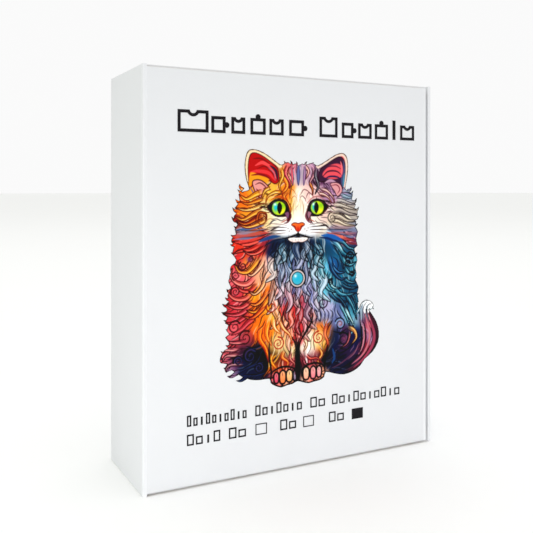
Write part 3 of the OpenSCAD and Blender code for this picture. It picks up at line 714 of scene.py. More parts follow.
def draw_head(b):
    """Cheeks, brow, forehead and muzzle."""
    # cheeks: flame locks at the left, silver curls at the right
    for pts, w, fill, line, shine in shapes(CHEEK_LOCKS):
        curl(b, pts, w, fill, line, shine)
    b.spiral(-19.6, 107.6, 2.2, 1.5, 60, rgb("8a4a1c"), 0.36, -1)
    b.spiral(15.8, 108, 2.2, 1.5, 120, rgb("4a403c"), 0.36, 1)
    b.lock([(-22, 106), (-20.6, 110.6), (-17.4, 110.2), (-17, 107.4)], 1.2, rgb("c86428"), rgb("6a2410"))
    # brow, forehead and the fur round the eyes
    for pts, w, fill, line, shine in shapes(BROW_LOCKS):
        curl(b, pts, w, fill, line, shine)
    mx = MIDDLE
    for s, tone in ((-1, "c07038"), (1, "7a4a50")):
        for dx, dz, r in ((3.4, 120, 2.6), (5.6, 118.6, 2.0), (2.0, 117.2, 1.7)):
            b.stroke([(mx + s * (dx - r), dz - 2.2), (mx + s * (dx - r * 0.2), dz + 0.6),
                      (mx + s * (dx + r * 0.9), dz - 0.8), (mx + s * (dx + r * 0.8), dz - 2)],
                     0.4, rgb(tone))
        b.stroke([(mx + s * 0.5, 118.4), (mx + s * 1.3, 115), (mx + s * 0.9, 111)], 0.4, rgb("c89a70"))
        b.stroke([(mx + s * 1.6, 116.4), (mx + s * 2.6, 113), (mx + s * 2.4, 109.4)],
                 0.45, rgb("a87850"), 0.8)
    # three plain stripes on the forehead
    for x, lean, size, name in ((-1.5, 0, 1.5, "slate"), (-4.2, -0.7, 1.1, "rose"),
                                (1.2, 0.7, 1.1, "mauve")):
        b.lock([(x + lean, 131.6), (x + lean * 0.6, 127.6), (x, 122.4)], size, rgb(PAINTS[name]),
               rgb("4a3c68"), taper="both", line_width=0.3)
    # muzzle
    b.fill([(-10, 105.4), (-4.6, 106), (-1.5, 108.6), (1.6, 106), (7, 105.4), (9.6, 102.6), (5, 100.4),
            (-1.5, 101.2), (-8, 100.4), (-12.6, 102.6)], rgb("ffffff"), 0.95, soft=1.3)
    b.fill([(-3.6, 118), (-1.5, 116.6), (0.6, 118), (1, 110), (1.6, 106.6), (-1.5, 105.8), (-4.6, 106.6),
            (-4, 110)], rgb("fdf3e4"), 0.55, soft=1.2)


# the ears: the rim and its line, the inside and its ring, two patches, then strokes with their widths
LEFT_EAR = """
f3dfb8: -26.6 124.4, -27 130, -26.2 135.2, -24 137.2, -20 136.6, -13.4 133, -10.6 131
c01c1c: -24.9 121.4, -25.7 127, -25.4 133, -23.6 136, -19.6 135.2, -13.8 131.6, -11.4 128.8, \
-11 124.6, -13 123, -16 124.4, -20 124.8, -22.6 123.4
c01c1c: -25 126.4, -25 133, -23 135.6, -19 134, -14.6 131, -20 130.4, -22.6 128
f0a42c: -25.2 121.4, -25 127, -23.6 128, -20 126.6, -15.6 125.2, -18 123.4, -22 124.6
1.6 e8484c: -24.6 128, -21 128.4, -16 127.6, -13 124.4
1.8 f05c5e: -22.6 130.6, -18.6 132, -14.6 129.6, -12.2 125
0.9 8a1c28: -24.4 126.6, -20 127, -16.4 125.8, -14.2 123.8
0.7 8a1422: -21.6 129.4, -17.6 130.4, -14 127.6, -12.6 124
0.8 8a0c16: -23.6 133.6, -19.4 133.6, -15 131.2
1.3 4a2a44: -15.6 131, -12.6 128.6, -11.6 124.4
0.5 c87a8a: -16.4 130, -13.4 127.6, -12.8 124
"""

RIGHT_EAR = """
ecd2c4: 22.9 122.6, 24 128, 23.9 133, 22.6 136, 19.6 136.6, 13.4 133.6, 8.6 131
4c2c48: 21.4 121, 22.6 127, 22.6 132.4, 21 135, 18.4 135, 13.4 132.2, 9.8 129.4, \
8.6 126, 9.8 124, 13 124.4, 17 123.6, 19.4 121.6
4c2c48: 9 125, 10 129, 14 132.4, 18.6 134.6, 21.6 134, 22.2 129, 19 131, 13 129
e8606a: 10.8 127.4, 14 131, 18.4 132.2, 21 131, 21.4 127, 18 125.4, 13 125.6
0.7 4a2440: 10.6 126, 13.6 128.6, 18 128.8, 21 127
0.55 5a2848: 10 127.6, 13.4 130.6, 17.6 131, 21 129.6
0.8 1c2c58: 11.4 125, 14.6 126.4, 18.6 126.2, 21.2 124.6
1.2 5a5a80: 21.8 134, 22.2 129, 21 125.4, 20.8 122
0.8 f08088: 20.2 133.4, 21 130.4, 20.6 127
0.9 5a9ab8: 22.4 128, 21.8 124, 21.6 121.4
1.2 c8a0b8: 12 123.6, 15 124.6, 18.6 123.4
"""


def draw_ears(b):
    """Both ears, with their rims, insides and the tufts at their feet."""
    for ear in (LEFT_EAR, RIGHT_EAR):
        (outer, rim), (ring, ground), upper, lower, *hair = shapes(ear)
        b.stroke(outer, 2.3, rgb(rim), 1.0, "none")
        b.fill(ring, rgb(ground), edge=rgb("3a1820"), edge_width=0.3)
        for patch, code in (upper, lower):
            b.fill(patch, rgb(code), soft=0.35)
        for pts, w, code in hair:
            b.stroke(pts, w, rgb(code), 0.95)
        b.stroke(outer, 0.3, rgb("a88a70"), 0.5, "none")
    # tufts at the ears' feet
    b.fill([(-23.6, 124), (-20, 124.6), (-16.6, 122.4), (-15.4, 120.4), (-18, 120.8), (-20, 117),
            (-22.6, 120)], rgb("e8a098"), edge=rgb("4a1824"), edge_width=0.45)
    b.stroke([(-22.4, 122.6), (-20, 123.4), (-17.4, 121.6), (-18.6, 121)], 0.5, rgb("5a1824"))
    b.stroke([(-22, 121), (-20.6, 119.4), (-20.4, 117)], 0.7, rgb("7a2030"))
    b.stroke([(-25, 122), (-22.8, 118.6), (-21, 116.4)], 0.7, rgb("8a7088"), 0.9)
    b.fill([(14.6, 123), (18, 123.8), (20.6, 122.4), (21, 119.6), (18.6, 117.6), (17, 120)], rgb("dca0a4"),
           edge=rgb("4a2438"), edge_width=0.35)
    b.stroke([(15, 122.4), (18.4, 122.6), (19.8, 120.6), (18.4, 118.6)], 0.5, rgb("8a3448"))
    for k in range(4):
        b.stroke([(10.6 + 1.4 * k, 123.6), (12 + 1.2 * k, 121.6), (13.6 + 1.0 * k, 118.6)], 0.4,
                 rgb("6a4a68"), 0.85)


def draw_face(b):
    """Eyes, nose, mouth and whiskers."""
    for s, cx, cz in ((-1, -11.1, 112.6), (1, 8.1, 112.6)):
        def m(pts):
            return [(cx + s * x, cz + z) for x, z in pts]
        # socket: a dark almond with a long inner corner that runs down beside the nose
        b.fill(m([(5.6, 0.4), (3.4, 2.2), (0, 3.2), (-3.2, 2.2), (-5, -0.4), (-5.5, -3.6), (-4.2, -5.6),
                  (-3.8, -3.6), (-1.4, -3.6), (2.4, -2.9)]), INK, edge=rgb("5a2430"), edge_width=0.5)
        b.fill(m([(-4.6, -1.6), (-3, -2.2), (-3.6, -3.4), (-4.4, -4.6), (-5, -3)]),
               rgb("8a5a78") if s < 0 else rgb("a87888"), soft=0.3)
        turn = np.linspace(0, 2 * math.pi, 17)[:-1]
        ring = [(cx + 3.35 * math.cos(a), cz + 3.0 * math.sin(a)) for a in turn]
        b.fill(ring, rgb("d2e02a"), edge=rgb("2a3a14"), edge_width=0.3)
        b.glow(cx + 1.9, cz + 1.0, 0.9, rgb("78c82e"), 0.7)
        b.glow(cx - 1.5, cz + 0.4, 0.85, rgb("18bce4"), 1.0, 1.5)
        b.glow(cx - 1.9, cz + 1.6, 0.5, rgb("f4ffff"), 0.9, 0.8)
        b.glow(cx + 1.5, cz - 1.5, 0.8, rgb("f8f040"), 0.8)
        px = cx + (0.35 if s < 0 else -0.5)
        b.fill([(px, cz + 2.6), (px + 1.1, cz + 1.2), (px + 1.15, cz - 0.6), (px + 0.3, cz - 2.3),
                (px - 0.4, cz - 2.3), (px - 1.1, cz - 0.6), (px - 1.0, cz + 1.2)], rgb("050608"))
        b.stroke(m([(5.9, 0.2), (3.4, 2.7), (0, 3.7), (-3.4, 2.7), (-5.2, -0.2)]), 0.75, INK)
        b.stroke(m([(-5.2, -1), (-5.9, -3.6), (-4.4, -6), (-2.4, -6.6)]), 0.8,
                 rgb("6a2028") if s < 0 else rgb("8a5060"))
        b.stroke(m([(-4.6, -4.6), (-2.6, -5.6), (-1, -6.2)]), 0.5, rgb("b86a60"))
        b.stroke(m([(3.4, -2.6), (0.4, -3.6), (-2.6, -3.5)]), 0.45, INK)
        b.stroke(m([(5.6, 0.4), (7.6, 0.7), (9.4, 0.4)]), 0.8, rgb("3a1810") if s < 0 else rgb("38202c"))
        b.stroke(m([(5, 1.6), (8, 2.2), (10.4, 1.8)]), 0.45, rgb("8a4418") if s < 0 else rgb("6a3c4c"))
        b.stroke(m([(4.4, -2), (7, -1.6), (9, -2.2)]), 0.45, rgb("9a5420") if s < 0 else rgb("6a4450"))
        b.stroke(m([(2.4, -4.4), (5, -4.6), (7, -6)]), 0.4, rgb("b88a60") if s < 0 else rgb("a0908c"), 0.8)
        b.stroke(m([(4.6, 3.0), (1, 4.9), (-2.4, 4.4), (-5.6, 1.6)]), 0.7,
                 rgb("c4561c") if s < 0 else rgb("b87878"), 0.8)
    # nose
    b.fill([(-4.9, 105.4), (-3.4, 106.2), (-1.5, 105.9), (0.4, 106.2), (1.7, 105.4), (0.4, 104.3),
            (-0.6, 102.9), (-1.6, 102.4), (-2.6, 102.9), (-3.6, 104.3)],
           rgb("e4552a"), edge=rgb("7a2414"), edge_width=0.4, fade=(rgb("f2803c"), 90))
    b.glow(-1.6, 103.4, 0.7, rgb("c82c18"), 0.7)
    b.stroke([(-4.4, 105), (-3.2, 104.6), (-2.8, 103.8)], 0.4, rgb("8a2010"))
    b.stroke([(1.2, 105), (0, 104.6), (-0.4, 103.8)], 0.4, rgb("8a2010"))
    # mouth and chin
    b.fill([(-1.6, 102.3), (-0.7, 101.4), (1.6, 100.7), (-0.2, 100.5), (-1.6, 100.2), (-3, 100.5),
            (-4.8, 100.7), (-2.5, 101.4)], rgb("0c0a0c"))
    b.stroke([(-1.6, 101.2), (-4.4, 100.4), (-8.2, 99.6), (-9.6, 99.9)], 0.7, INK)
    b.stroke([(-1.6, 101.2), (1.4, 100.4), (4.8, 99.6), (6.4, 99.9)], 0.7, INK)
    b.fill([(-6.6, 99.5), (-4, 100), (-1.6, 99.8), (0.8, 100), (3.4, 99.5), (2.6, 98.3), (0.4, 97.6),
            (-1.6, 97.8), (-3.6, 97.6), (-5.8, 98.3)],
           rgb("f0d8d4"), edge=rgb("2a1820"), edge_width=0.35, fade=(rgb("fffaf6"), 90))
    for x, drop in ((-4.8, 0.7), (-3, 1.1), (-1.6, 0.8), (-0.2, 1.1), (1.6, 0.7)):
        b.stroke([(x, 99.2), (x * 0.9, 99.2 - drop)], 0.22, rgb("a87c7c"), 0.6)
    whiskers = ((104.2, 104.5, 0.42), (103, 102.8, 0.46), (102, 101.2, 0.4), (105.2, 106.2, 0.3))
    for s in (-1, 1):
        for k, (z0, z1, w) in enumerate(whiskers):
            b.stroke([(-1.6 + s * 5.6, z0), (-1.6 + s * 10, (z0 + z1) / 2 + 0.1), (-1.6 + s * 15, z1)], w,
                     rgb("3a2628") if k < 2 else rgb("8a6a68"), 0.9, "both")
        for dx, dz in ((3.4, 103.4), (4.4, 102.6), (5, 103.8)):
            b.glow(-1.6 + s * dx, dz, 0.2, rgb("6a5050"), 0.8)


def draw_outline(b, ring):
    """A dark contour in a deep tone of the coat, broader under the paws."""
    far, reach, run = 9.0, 1.6, 16
    closed = np.vstack([ring, ring[0]])
    index = np.arange(len(b.p))
    edge_d = np.full(len(b.p), far)
    for i in range(0, len(closed) - 1, run):
        part = closed[i:i + run + 1]
        near = b.near(part, reach)
        if len(near):
            d, _, _ = b.measure(near, part)
            edge_d[near] = np.minimum(edge_d[near], d)
    x, z = b.p[:, 0], b.p[:, 1]
    ground = shepard(b.p, COAT_AT, COAT_COLOUR, 3.0)
    tone = ground * 0.22
    wave = 0.5 + 0.5 * np.sin(x * 2.1 + 1.7 * np.sin(z * 1.3)) * np.sin(z * 1.7)
    width = 0.14 + 0.26 * wave + 0.45 * (z < 45) * ease(-np.abs(x + 1.5), -17, -12)
    b.put(index, 0.9 * ease(-(edge_d - width), -0.14, 0.14), tone)


# how far the finished picture is stretched towards light and dark
PRINT_CONTRAST, PRINT_DEPTH = 1.2, 0.15


def paint_cat(x, z, ring, soft=0.16):
    """Linear colours of the picture at points given in mm on the front."""
    b = Painter(x, z, soft)
    draw_coat(b)
    draw_tail(b)
    draw_left_body(b)
    draw_right_body(b)
    draw_bands(b)
    draw_chest(b)
    draw_legs(b)
    draw_ears(b)
    draw_head(b)
    draw_face(b)
    draw_outline(b, ring)
    return to_linear(b.c * PRINT_CONTRAST - PRINT_DEPTH)


# ---- making pieces ------------------------------------------------------------------


def activate(obj):
    """Object mode, with this object selected and active, or with nothing selected."""
    if bpy.context.mode != "OBJECT":
        bpy.ops.object.mode_set(mode="OBJECT")
    bpy.ops.object.select_all(action="DESELECT")
    if obj is not None:
        obj.select_set(True)
        bpy.context.view_layer.objects.active = obj


def add_object(name, mesh):
    obj = bpy.data.objects.new(name, mesh)
    bpy.context.scene.collection.objects.link(obj)
    return obj


def copy_node(node, name):
    """The node's shape as a new piece, with its triangles joined into whole flat faces."""
    mesh = NODES[node].data.copy()
    mesh.name = name
    mesh.materials.clear()
    obj = add_object(name, mesh)
    activate(obj)
    bpy.ops.mesh.customdata_custom_splitnormals_clear()
    bpy.ops.object.mode_set(mode="EDIT")
    bpy.ops.mesh.select_all(action="SELECT")
    bpy.ops.mesh.remove_doubles(threshold=1e-6)
    bpy.ops.mesh.dissolve_limited(angle_limit=math.radians(0.5))
    bpy.ops.object.mode_set(mode="OBJECT")
    return obj


def soften(obj, width):
    """Rounds the piece's sharp edges a little."""
    activate(obj)
    m = obj.modifiers.new("Soft edges", "BEVEL")
    m.width, m.segments, m.limit_method, m.angle_limit = width, 2, "ANGLE", math.radians(50)
    bpy.ops.object.modifier_apply(modifier=m.name)
    bpy.ops.object.shade_smooth_by_angle(angle=math.radians(40))


def place(obj, body, slot, *nodes):
    """Says which body the piece rides and which CAD nodes it stands for; slot, for what it is made of, is
    not used.
    """
    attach(obj, body)
    if nodes:
        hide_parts(*nodes)


def front_outlines(node):
    """The closed outlines of a node's front faces, as x, z in mm."""
    bm = bmesh.new()
    bm.from_mesh(NODES[node].data)
    bmesh.ops.remove_doubles(bm, verts=bm.verts, dist=1e-6)
    front = min(v.co.y for v in bm.verts)
    faces = {f for f in bm.faces if f.normal.y < -0.9 and f.calc_center_median().y < front + 2e-5}
    after = {}
    for f in faces:
        for loop in f.loops:
            if not any(g is not f and g in faces for g in loop.edge.link_faces):
                after[loop.vert] = loop.link_loop_next.vert
    outlines = []
    while after:
        first, v = after.popitem()
        line = [first]
        while v is not first:
            line.append(v)
            v = after.pop(v)
        outlines.append(np.array([(p.co.x, p.co.z) for p in line]) * TO_MM)
    bm.free()
    return outlines


def area(line):
    """Area of a closed line: above zero when it runs anticlockwise."""
    x, z = line[:, 0], line[:, 1]
    return 0.5 * float(np.sum(x * np.roll(z, -1) - np.roll(x, -1) * z))


def divide(line, step):
    """The closed line with its long sides cut into pieces no longer than step."""
    out = []
    for a, b in zip(line, np.roll(line, -1, axis=0)):
        n = max(1, math.ceil(np.hypot(*(b - a)) / step - 0.2))
        out.extend(a + (b - a) * i / n for i in range(n))
    return np.array(out)


def gap_to(p, line):
    """Distance from points to a closed line."""
    best = np.full(len(p), 1e9)
    for a, b in zip(line, np.roll(line, -1, axis=0)):
        near = np.nonzero(np.abs(p - (a + b) / 2).max(1) < 2.5)[0]
        rel, seg = p[near] - a, b - a
        t = np.clip(rel @ seg / (seg @ seg + 1e-12), 0, 1)
        off = rel - t[:, None] * seg
        best[near] = np.minimum(best[near], np.hypot(off[:, 0], off[:, 1]))
    return best


def turn_of(a, b, c):
    """Above zero where a, b and c run anticlockwise."""
    return (b[0] - a[0]) * (c[1] - a[1]) - (c[0] - a[0]) * (b[1] - a[1])


def crossed(points, lines):
    """Which points lie inside an odd number of the closed lines, so that a line within a line is a hole."""
    within = np.zeros(len(points), bool)
    for o in lines:
        within ^= inside(points, o)
    return within


def rings_as_edges(verts, lines):
    """Adds the closed lines to verts and gives their edges."""
    edges = []
    for o in lines:
        n = len(verts)
        verts.extend(Vector(p) for p in o)
        edges.extend((n + i, n + (i + 1) % len(o)) for i in range(len(o)))
    return edges


def mesh_within(outlines, step, inner, keep):
    """Flat triangles inside the outlines, with points spread evenly at the given step.

    inner are lines that the triangles follow too; keep says which of the spread points stay."""
    lines = [divide(o, step) for o in outlines]
    marks = [divide(o, step) for o in inner]
    low = np.min([o.min(0) for o in lines], axis=0)
    high = np.max([o.max(0) for o in lines], axis=0)
    xs, zs = np.arange(low[0], high[0], step), np.arange(low[1], high[1], step * ROW_HEIGHT)
    x, z = np.meshgrid(xs, zs)
    x = x + step / 2 * (np.arange(len(zs)) % 2)[:, None]
    points = np.stack([x.ravel(), z.ravel()], 1)
    points = points[crossed(points, lines)]
    if keep is not None:
        points = points[keep(points)]
    for o in lines + marks:
        points = points[gap_to(points, o) > 0.45 * step]
    verts = [Vector(p) for p in points]
    edges = rings_as_edges(verts, lines + marks)
    out, _, faces, _, _, _ = geometry.delaunay_2d_cdt(verts, edges, [], 1, 1e-7)
    out = np.array([tuple(v) for v in out])
    faces = np.array(faces)
    faces = faces[crossed(out[faces].mean(1), lines)]
    a, b, c = (out[faces[:, i]] for i in range(3))
    turned = turn_of(a.T, b.T, c.T) < 0
    faces[turned] = faces[turned][:, ::-1]
    return out, faces


class Plate:
    """A flat piece that stands upright: a finely divided front, a rim and a plain back."""

    FRONT, RIM, BACK = 0, 1, 2

    def __init__(self, front_y, back_y):
        self.front_y, self.back_y = front_y, back_y
        self.points, self.faces, self.kinds, self.rim = [], [], [], []
        self.count = 0

    def add(self, outlines, step, inner=(), keep=None):
        p, f = mesh_within(outlines, step, inner, keep)
        n = self.count
        self.points.append(np.stack([p[:, 0], np.full(len(p), self.front_y), p[:, 1]], 1))
        self.faces.extend((f + n).tolist())
        self.kinds.extend([self.FRONT] * len(f))
        # the border of the front, in the order its own faces give
        edge = {(a, b): True for a, b in np.concatenate([f[:, [0, 1]], f[:, [1, 2]],
                                                         f[:, [2, 0]]]).tolist()}
        border = [(a, b) for a, b in edge if (b, a) not in edge]
        names = {v: i for i, v in enumerate(sorted({a for a, _ in border}))}
        flag = np.zeros(len(p), bool)
        flag[list(names)] = True
        self.rim.append(flag)
        m = n + len(p)
        back = p[list(names)]
        self.points.append(np.stack([back[:, 0], np.full(len(back), self.back_y), back[:, 1]], 1))
        self.rim.append(np.ones(len(back), bool))
        for a, b in border:
            self.faces.append((n + b, n + a, m + names[a], m + names[b]))
            self.kinds.append(self.RIM)
        turned = [(names[a], names[b]) for a, b in border]
        out, _, faces, _, _, _ = geometry.delaunay_2d_cdt([Vector(q) for q in back], turned, [], 1, 1e-7)
        if len(out) != len(back):
            raise RuntimeError("a plate's back gained points")
        mid = np.array([np.mean([tuple(out[i]) for i in t], axis=0) for t in faces])
        for t, within in zip(faces, crossed(mid, outlines)):
            if within:
                if turn_of(*(back[i] for i in t)) > 0:
                    t = t[::-1]
                self.faces.append(tuple(m + i for i in t))
                self.kinds.append(self.BACK)
        self.count = m + len(back)

    def spots(self):
        """x and z of every point of the piece, in mm."""
        p = np.concatenate(self.points)
        return p[:, 0], p[:, 2]

    def make(self, name, colours, finishes):
        """The finished object, with a colour on every point and a finish each for front, rim and back."""
        mesh = bpy.data.meshes.new(name)
        mesh.from_pydata((np.concatenate(self.points) * MM).tolist(), [], self.faces)
        for finish in finishes:
            mesh.materials.append(finish)
        mesh.polygons.foreach_set("material_index", [min(k, len(finishes) - 1) for k in self.kinds])
        values = np.ones((len(mesh.vertices), 4), np.float32)
        values[:, :3] = colours
        mesh.attributes.new("Print", "FLOAT_COLOR", "POINT").data.foreach_set("color", values.ravel())
        mesh.update()
        obj = add_object(name, mesh)
        activate(obj)
        bpy.ops.object.shade_smooth_by_angle(angle=math.radians(30))
        return obj


# ---- finishes ------------------------------------------------------------------------


class Finish:
    """A material while its nodes are being joined."""

    def __init__(self, name, **shader):
        self.material = bpy.data.materials.new(name)
        self.material.use_nodes = True
        self.tree = self.material.node_tree
        self.tree.nodes.clear()
        self.shader = self.add("ShaderNodeBsdfPrincipled", **shader)
        self.join(self.shader, "BSDF", self.add("ShaderNodeOutputMaterial"), "Surface")
        self.coords = self.add("ShaderNodeTexCoord")

    def add(self, kind, options=None, **inputs):
        node = self.tree.nodes.new(kind)
        for key, value in (options or {}).items():
            setattr(node, key, value)
        for key, value in inputs.items():
            node.inputs[key.replace("_", " ")].default_value = value
        return node

    def join(self, source, output, target, entry):
        self.tree.links.new(source.outputs[output], target.inputs[entry])

    def noise(self, scale, detail, rough=0.6, stretch=None):
        node = self.add("ShaderNodeTexNoise", Scale=scale, Detail=detail, Roughness=rough)
        if stretch:
            mapping = self.add("ShaderNodeMapping", Scale=stretch)
            self.join(self.coords, "Object", mapping, "Vector")
            self.join(mapping, "Vector", node, "Vector")
        else:
            self.join(self.coords, "Object", node, "Vector")
        return node

    def ramp(self, source, output, stops):
        node = self.add("ShaderNodeValToRGB")
        band = node.color_ramp
        while len(band.elements) < len(stops):
            band.elements.new(0.5)
        for element, (place, colour) in zip(band.elements, stops):
            element.position = place
            element.color = (*colour, 1)
        self.join(source, output, node, "Fac")
        return node

    def mix(self, factor, a, b, blend="MIX"):
        """Mixes two colour outputs, given as (node, output) pairs or plain colours."""
        node = self.add("ShaderNodeMix", {"data_type": "RGBA", "blend_type": blend})
        for entry, value in ((0, factor), (6, a), (7, b)):
            if isinstance(value, tuple) and len(value) == 2 and not isinstance(value[0], (int, float)):
                self.tree.links.new(value[0].outputs[value[1]], node.inputs[entry])
            elif entry == 0:
                node.inputs[0].default_value = value
            else:
                node.inputs[entry].default_value = (*value, 1)
        return (node, 2)

    def colour(self, pair):
        self.tree.links.new(pair[0].outputs[pair[1]], self.shader.inputs["Base Color"])

    def bump(self, source, output, strength, distance):
        node = self.add("ShaderNodeBump", Strength=strength, Distance=distance)
        self.join(source, output, node, "Height")
        self.join(node, "Normal", self.shader, "Normal")

    def facing(self, way, low, high):
        """0 to 1 as the surface turns towards the given way."""
        dot = self.add("ShaderNodeVectorMath", {"operation": "DOT_PRODUCT"})
        self.join(self.coords, "Normal", dot, 0)
        dot.inputs[1].default_value = way
        span = self.add("ShaderNodeMapRange", From_Min=low, From_Max=high)
        self.join(dot, "Value", span, "Value")
        return (span, "Result")


def toned(colour, factor):
    """The colour made darker or lighter by a factor."""
    return tuple(min(1, v * factor) for v in colour)


def fibrous(f, fibre, kraft):
    """Kraft's colour: fibres a little lighter and darker than their ground, with faint blotches."""
    tone = f.ramp(fibre, "Fac", [(0.25, toned(kraft, 0.8)), (0.5, kraft), (0.78, toned(kraft, 1.16))])
    blotch = f.ramp(f.noise(45, 4), "Fac", [(0.35, (0.93, 0.925, 0.92)), (0.65, (1, 1, 1))])
    return f.mix(1.0, (tone, "Color"), (blotch, "Color"), "MULTIPLY")


def liner_and_kraft(name, outward, white, kraft):
    """Board with a white coated liner on its outer side, bare kraft inside and pale cut edges.

    With no outward side given, the liner is wrapped all round."""
    f = Finish(name, Roughness=0.42, Specular_IOR_Level=0.35)
    cloud = f.noise(38, 5, 0.55)
    shade = f.ramp(cloud, "Fac", [(0.3, toned(white, 0.985)), (0.7, white)])
    grain = f.noise(2600, 3, 0.6)
    fleck = f.mix(0.03, (shade, "Color"), (grain, "Color"), "MULTIPLY")
    fibre = f.noise(1500, 6, 0.75, (1, 1, 0.45))
    bare = fibrous(f, fibre, kraft)
    cut = f.ramp(fibre, "Fac", [(0.3, (0.62, 0.57, 0.49)), (0.7, (0.76, 0.73, 0.67))])
    if outward is None:
        f.colour(fleck)
    else:
        skin = f.mix(f.facing(outward, 0.35, 0.6), (cut, "Color"), fleck)
        f.colour(f.mix(f.facing(tuple(-v for v in outward), 0.45, 0.7), skin, bare))
    rough = f.add("ShaderNodeMapRange", From_Min=0.2, From_Max=0.8, To_Min=0.38, To_Max=0.55)
    f.join(grain, "Fac", rough, "Value")
    f.join(rough, "Result", f.shader, "Roughness")
    f.bump(grain, "Fac", 0.10, 0.00005)
    return f.material


def kraft_finish(name, kraft):
    f = Finish(name, Roughness=0.82)
    fibre = f.noise(1500, 6, 0.75, (0.45, 1, 1))
    f.colour(fibrous(f, fibre, kraft))
    f.bump(fibre, "Fac", 0.25, 0.00008)
    return f.material


def print_finish(name, roughness):
    """Reads the picture's colours from the piece and gives them a satin varnish."""
    f = Finish(name, Roughness=roughness, Specular_IOR_Level=0.12)
    ink = f.add("ShaderNodeAttribute", {"attribute_name": "Print"})
    grain = f.noise(3000, 2, 0.5)
    f.colour(f.mix(0.05, (ink, "Color"), (grain, "Color"), "OVERLAY"))
    f.bump(grain, "Fac", 0.08, 0.00004)
    return f.material


def black_ink_finish():
    f = Finish("Printed black", Roughness=0.45, Specular_IOR_Level=0.1)
    grain = f.noise(1800, 4, 0.7)
    tone = f.ramp(grain, "Fac", [(0.35, (0.006, 0.005, 0.007)), (0.75, (0.016, 0.014, 0.018))])
    f.colour((tone, "Color"))
    f.bump(grain, "Fac", 0.05, 0.00003)
    return f.material


def plain_edge_finish():
    f = Finish("Paper edge", Roughness=0.7)
    tone = f.ramp(f.noise(1500, 3), "Fac", [(0.3, (0.72, 0.71, 0.69)), (0.7, (0.86, 0.85, 0.83))])
    f.colour((tone, "Color"))
    return f.material


# how far back the plywood's front and back faces stand
PLYWOOD = (0.0179, 0.0219)


def burnt_edge_finish(wood):
    """Saw-cut plywood edge: three plies, scorched brown."""
    f = Finish("Scorched plywood edge", Roughness=0.75)
    split = f.add("ShaderNodeSeparateXYZ")
    f.join(f.coords, "Object", split, "Vector")
    span = f.add("ShaderNodeMapRange", From_Min=PLYWOOD[0], From_Max=PLYWOOD[1])
    f.join(split, "Y", span, "Value")
    dark, mid = toned(wood, 0.16), toned(wood, 0.32)
    plies = [(0.0, mid), (0.30, mid), (0.34, dark), (0.64, dark), (0.69, mid), (1.0, mid)]
    ply = f.ramp(span, "Result", plies)
    streak = f.ramp(f.noise(700, 5, 0.6, (1, 0.1, 1)), "Fac", [(0.3, (0.6, 0.55, 0.5)), (0.7, (1, 1, 1))])
    f.colour(f.mix(1.0, (ply, "Color"), (streak, "Color"), "MULTIPLY"))
    return f.material


def plywood_finish(wood):
    f = Finish("Birch plywood", Roughness=0.6)
    grain = f.noise(260, 6, 0.65, (1, 1, 0.06))
    tone = f.ramp(grain, "Fac", [(0.3, toned(wood, 0.72)), (0.55, wood), (0.75, toned(wood, 1.12))])
    cloud = f.ramp(f.noise(30, 3), "Fac", [(0.3, (0.9, 0.88, 0.86)), (0.7, (1, 1, 1))])
    f.colour(f.mix(1.0, (tone, "Color"), (cloud, "Color"), "MULTIPLY"))
    f.bump(grain, "Fac", 0.2, 0.0001)
    return f.material


def stage_finish(colour):
    f = Finish("Studio paper", Roughness=0.95)
    tone = f.ramp(f.noise(3, 2), "Fac", [(0.3, toned(colour, 0.995)), (0.7, colour)])
    f.colour((tone, "Color"))
    return f.material


# ---- the settings a user would change ---------------------------------------------------


def colour_setting(name, description, default):
    return bpy.props.FloatVectorProperty(name=name, description=description, default=default,
                                         size=3, min=0, max=1, subtype="COLOR")


def length_setting(name, description, default, low, high):
    return bpy.props.FloatProperty(name=name, description=description, default=default, min=low, max=high,
                                   subtype="DISTANCE", unit="LENGTH", precision=5)


def power_setting(name, description, default):
    return bpy.props.FloatProperty(name=name, description=description, default=default, min=0,
                                   subtype="POWER", unit="POWER")


class CartonSettings(bpy.types.PropertyGroup):
    """Sizes and colours of the carton, its print and what is inside."""

    white: colour_setting("White liner", "Colour of the coated outer side of the board",
                          (0.79, 0.80, 0.825))
    kraft: colour_setting("Kraft", "Colour of the bare board inside and at the cut edges",
                          (0.50, 0.33, 0.18))
    wood: colour_setting("Plywood", "Colour of the puzzle's bare wood", (0.72, 0.50, 0.29))
    paper: colour_setting("Card paper", "Ground colour of the picture card", (0.90, 0.89, 0.86))
    edge: length_setting("Edge softness", "Rounding of the board's edges", 0.00022, 0.00005, 0.0006)
    fold: length_setting("Fold radius", "Outer radius of the board where it folds", 0.00076, 0.00075, 0.002)
    flute_pitch: length_setting("Flute pitch", "Distance from one flute to the next in the board",
                                0.0032, 0.0015, 0.008)
    picture_step: length_setting("Picture detail", "Spacing of colour points in the printed picture",
                                 0.0003, 0.0002, 0.002)
    puzzle_step: length_setting("Puzzle detail", "Spacing of colour points on the puzzle",
                                0.00055, 0.0004, 0.003)
    card_step: length_setting("Card detail", "Spacing of colour points on the picture card",
                              0.00045, 0.0003, 0.003)


class StudioSettings(bpy.types.PropertyGroup):
    """The floor, lights and camera."""

    floor: colour_setting("Floor", "Colour of the studio paper", (0.97, 0.97, 0.97))
    left_tint: colour_setting("Left tint", "Colour of the sky on the left of the carton",
                              (0.80, 0.83, 0.75))
    low_power: power_setting("Low light", "Power of the low light at the front left", 0.11)
    top_power: power_setting("Top light", "Power of the large light overhead", 10.0)
    sky: bpy.props.FloatProperty(name="Sky", description="Strength of the even light all round",
                                 default=0.96, min=0)
    lens: bpy.props.FloatProperty(name="Lens", description="Focal length of the camera",
                                  default=49.57, min=10, subtype="DISTANCE_CAMERA", unit="CAMERA")


def carton():
    return bpy.context.scene.carton_settings


def studio():
    return bpy.context.scene.studio_settings


OUTLINE = front_outlines("picture_print")[0]

# ---- the fur's loose tips, which break up the picture's outline ----------------------------

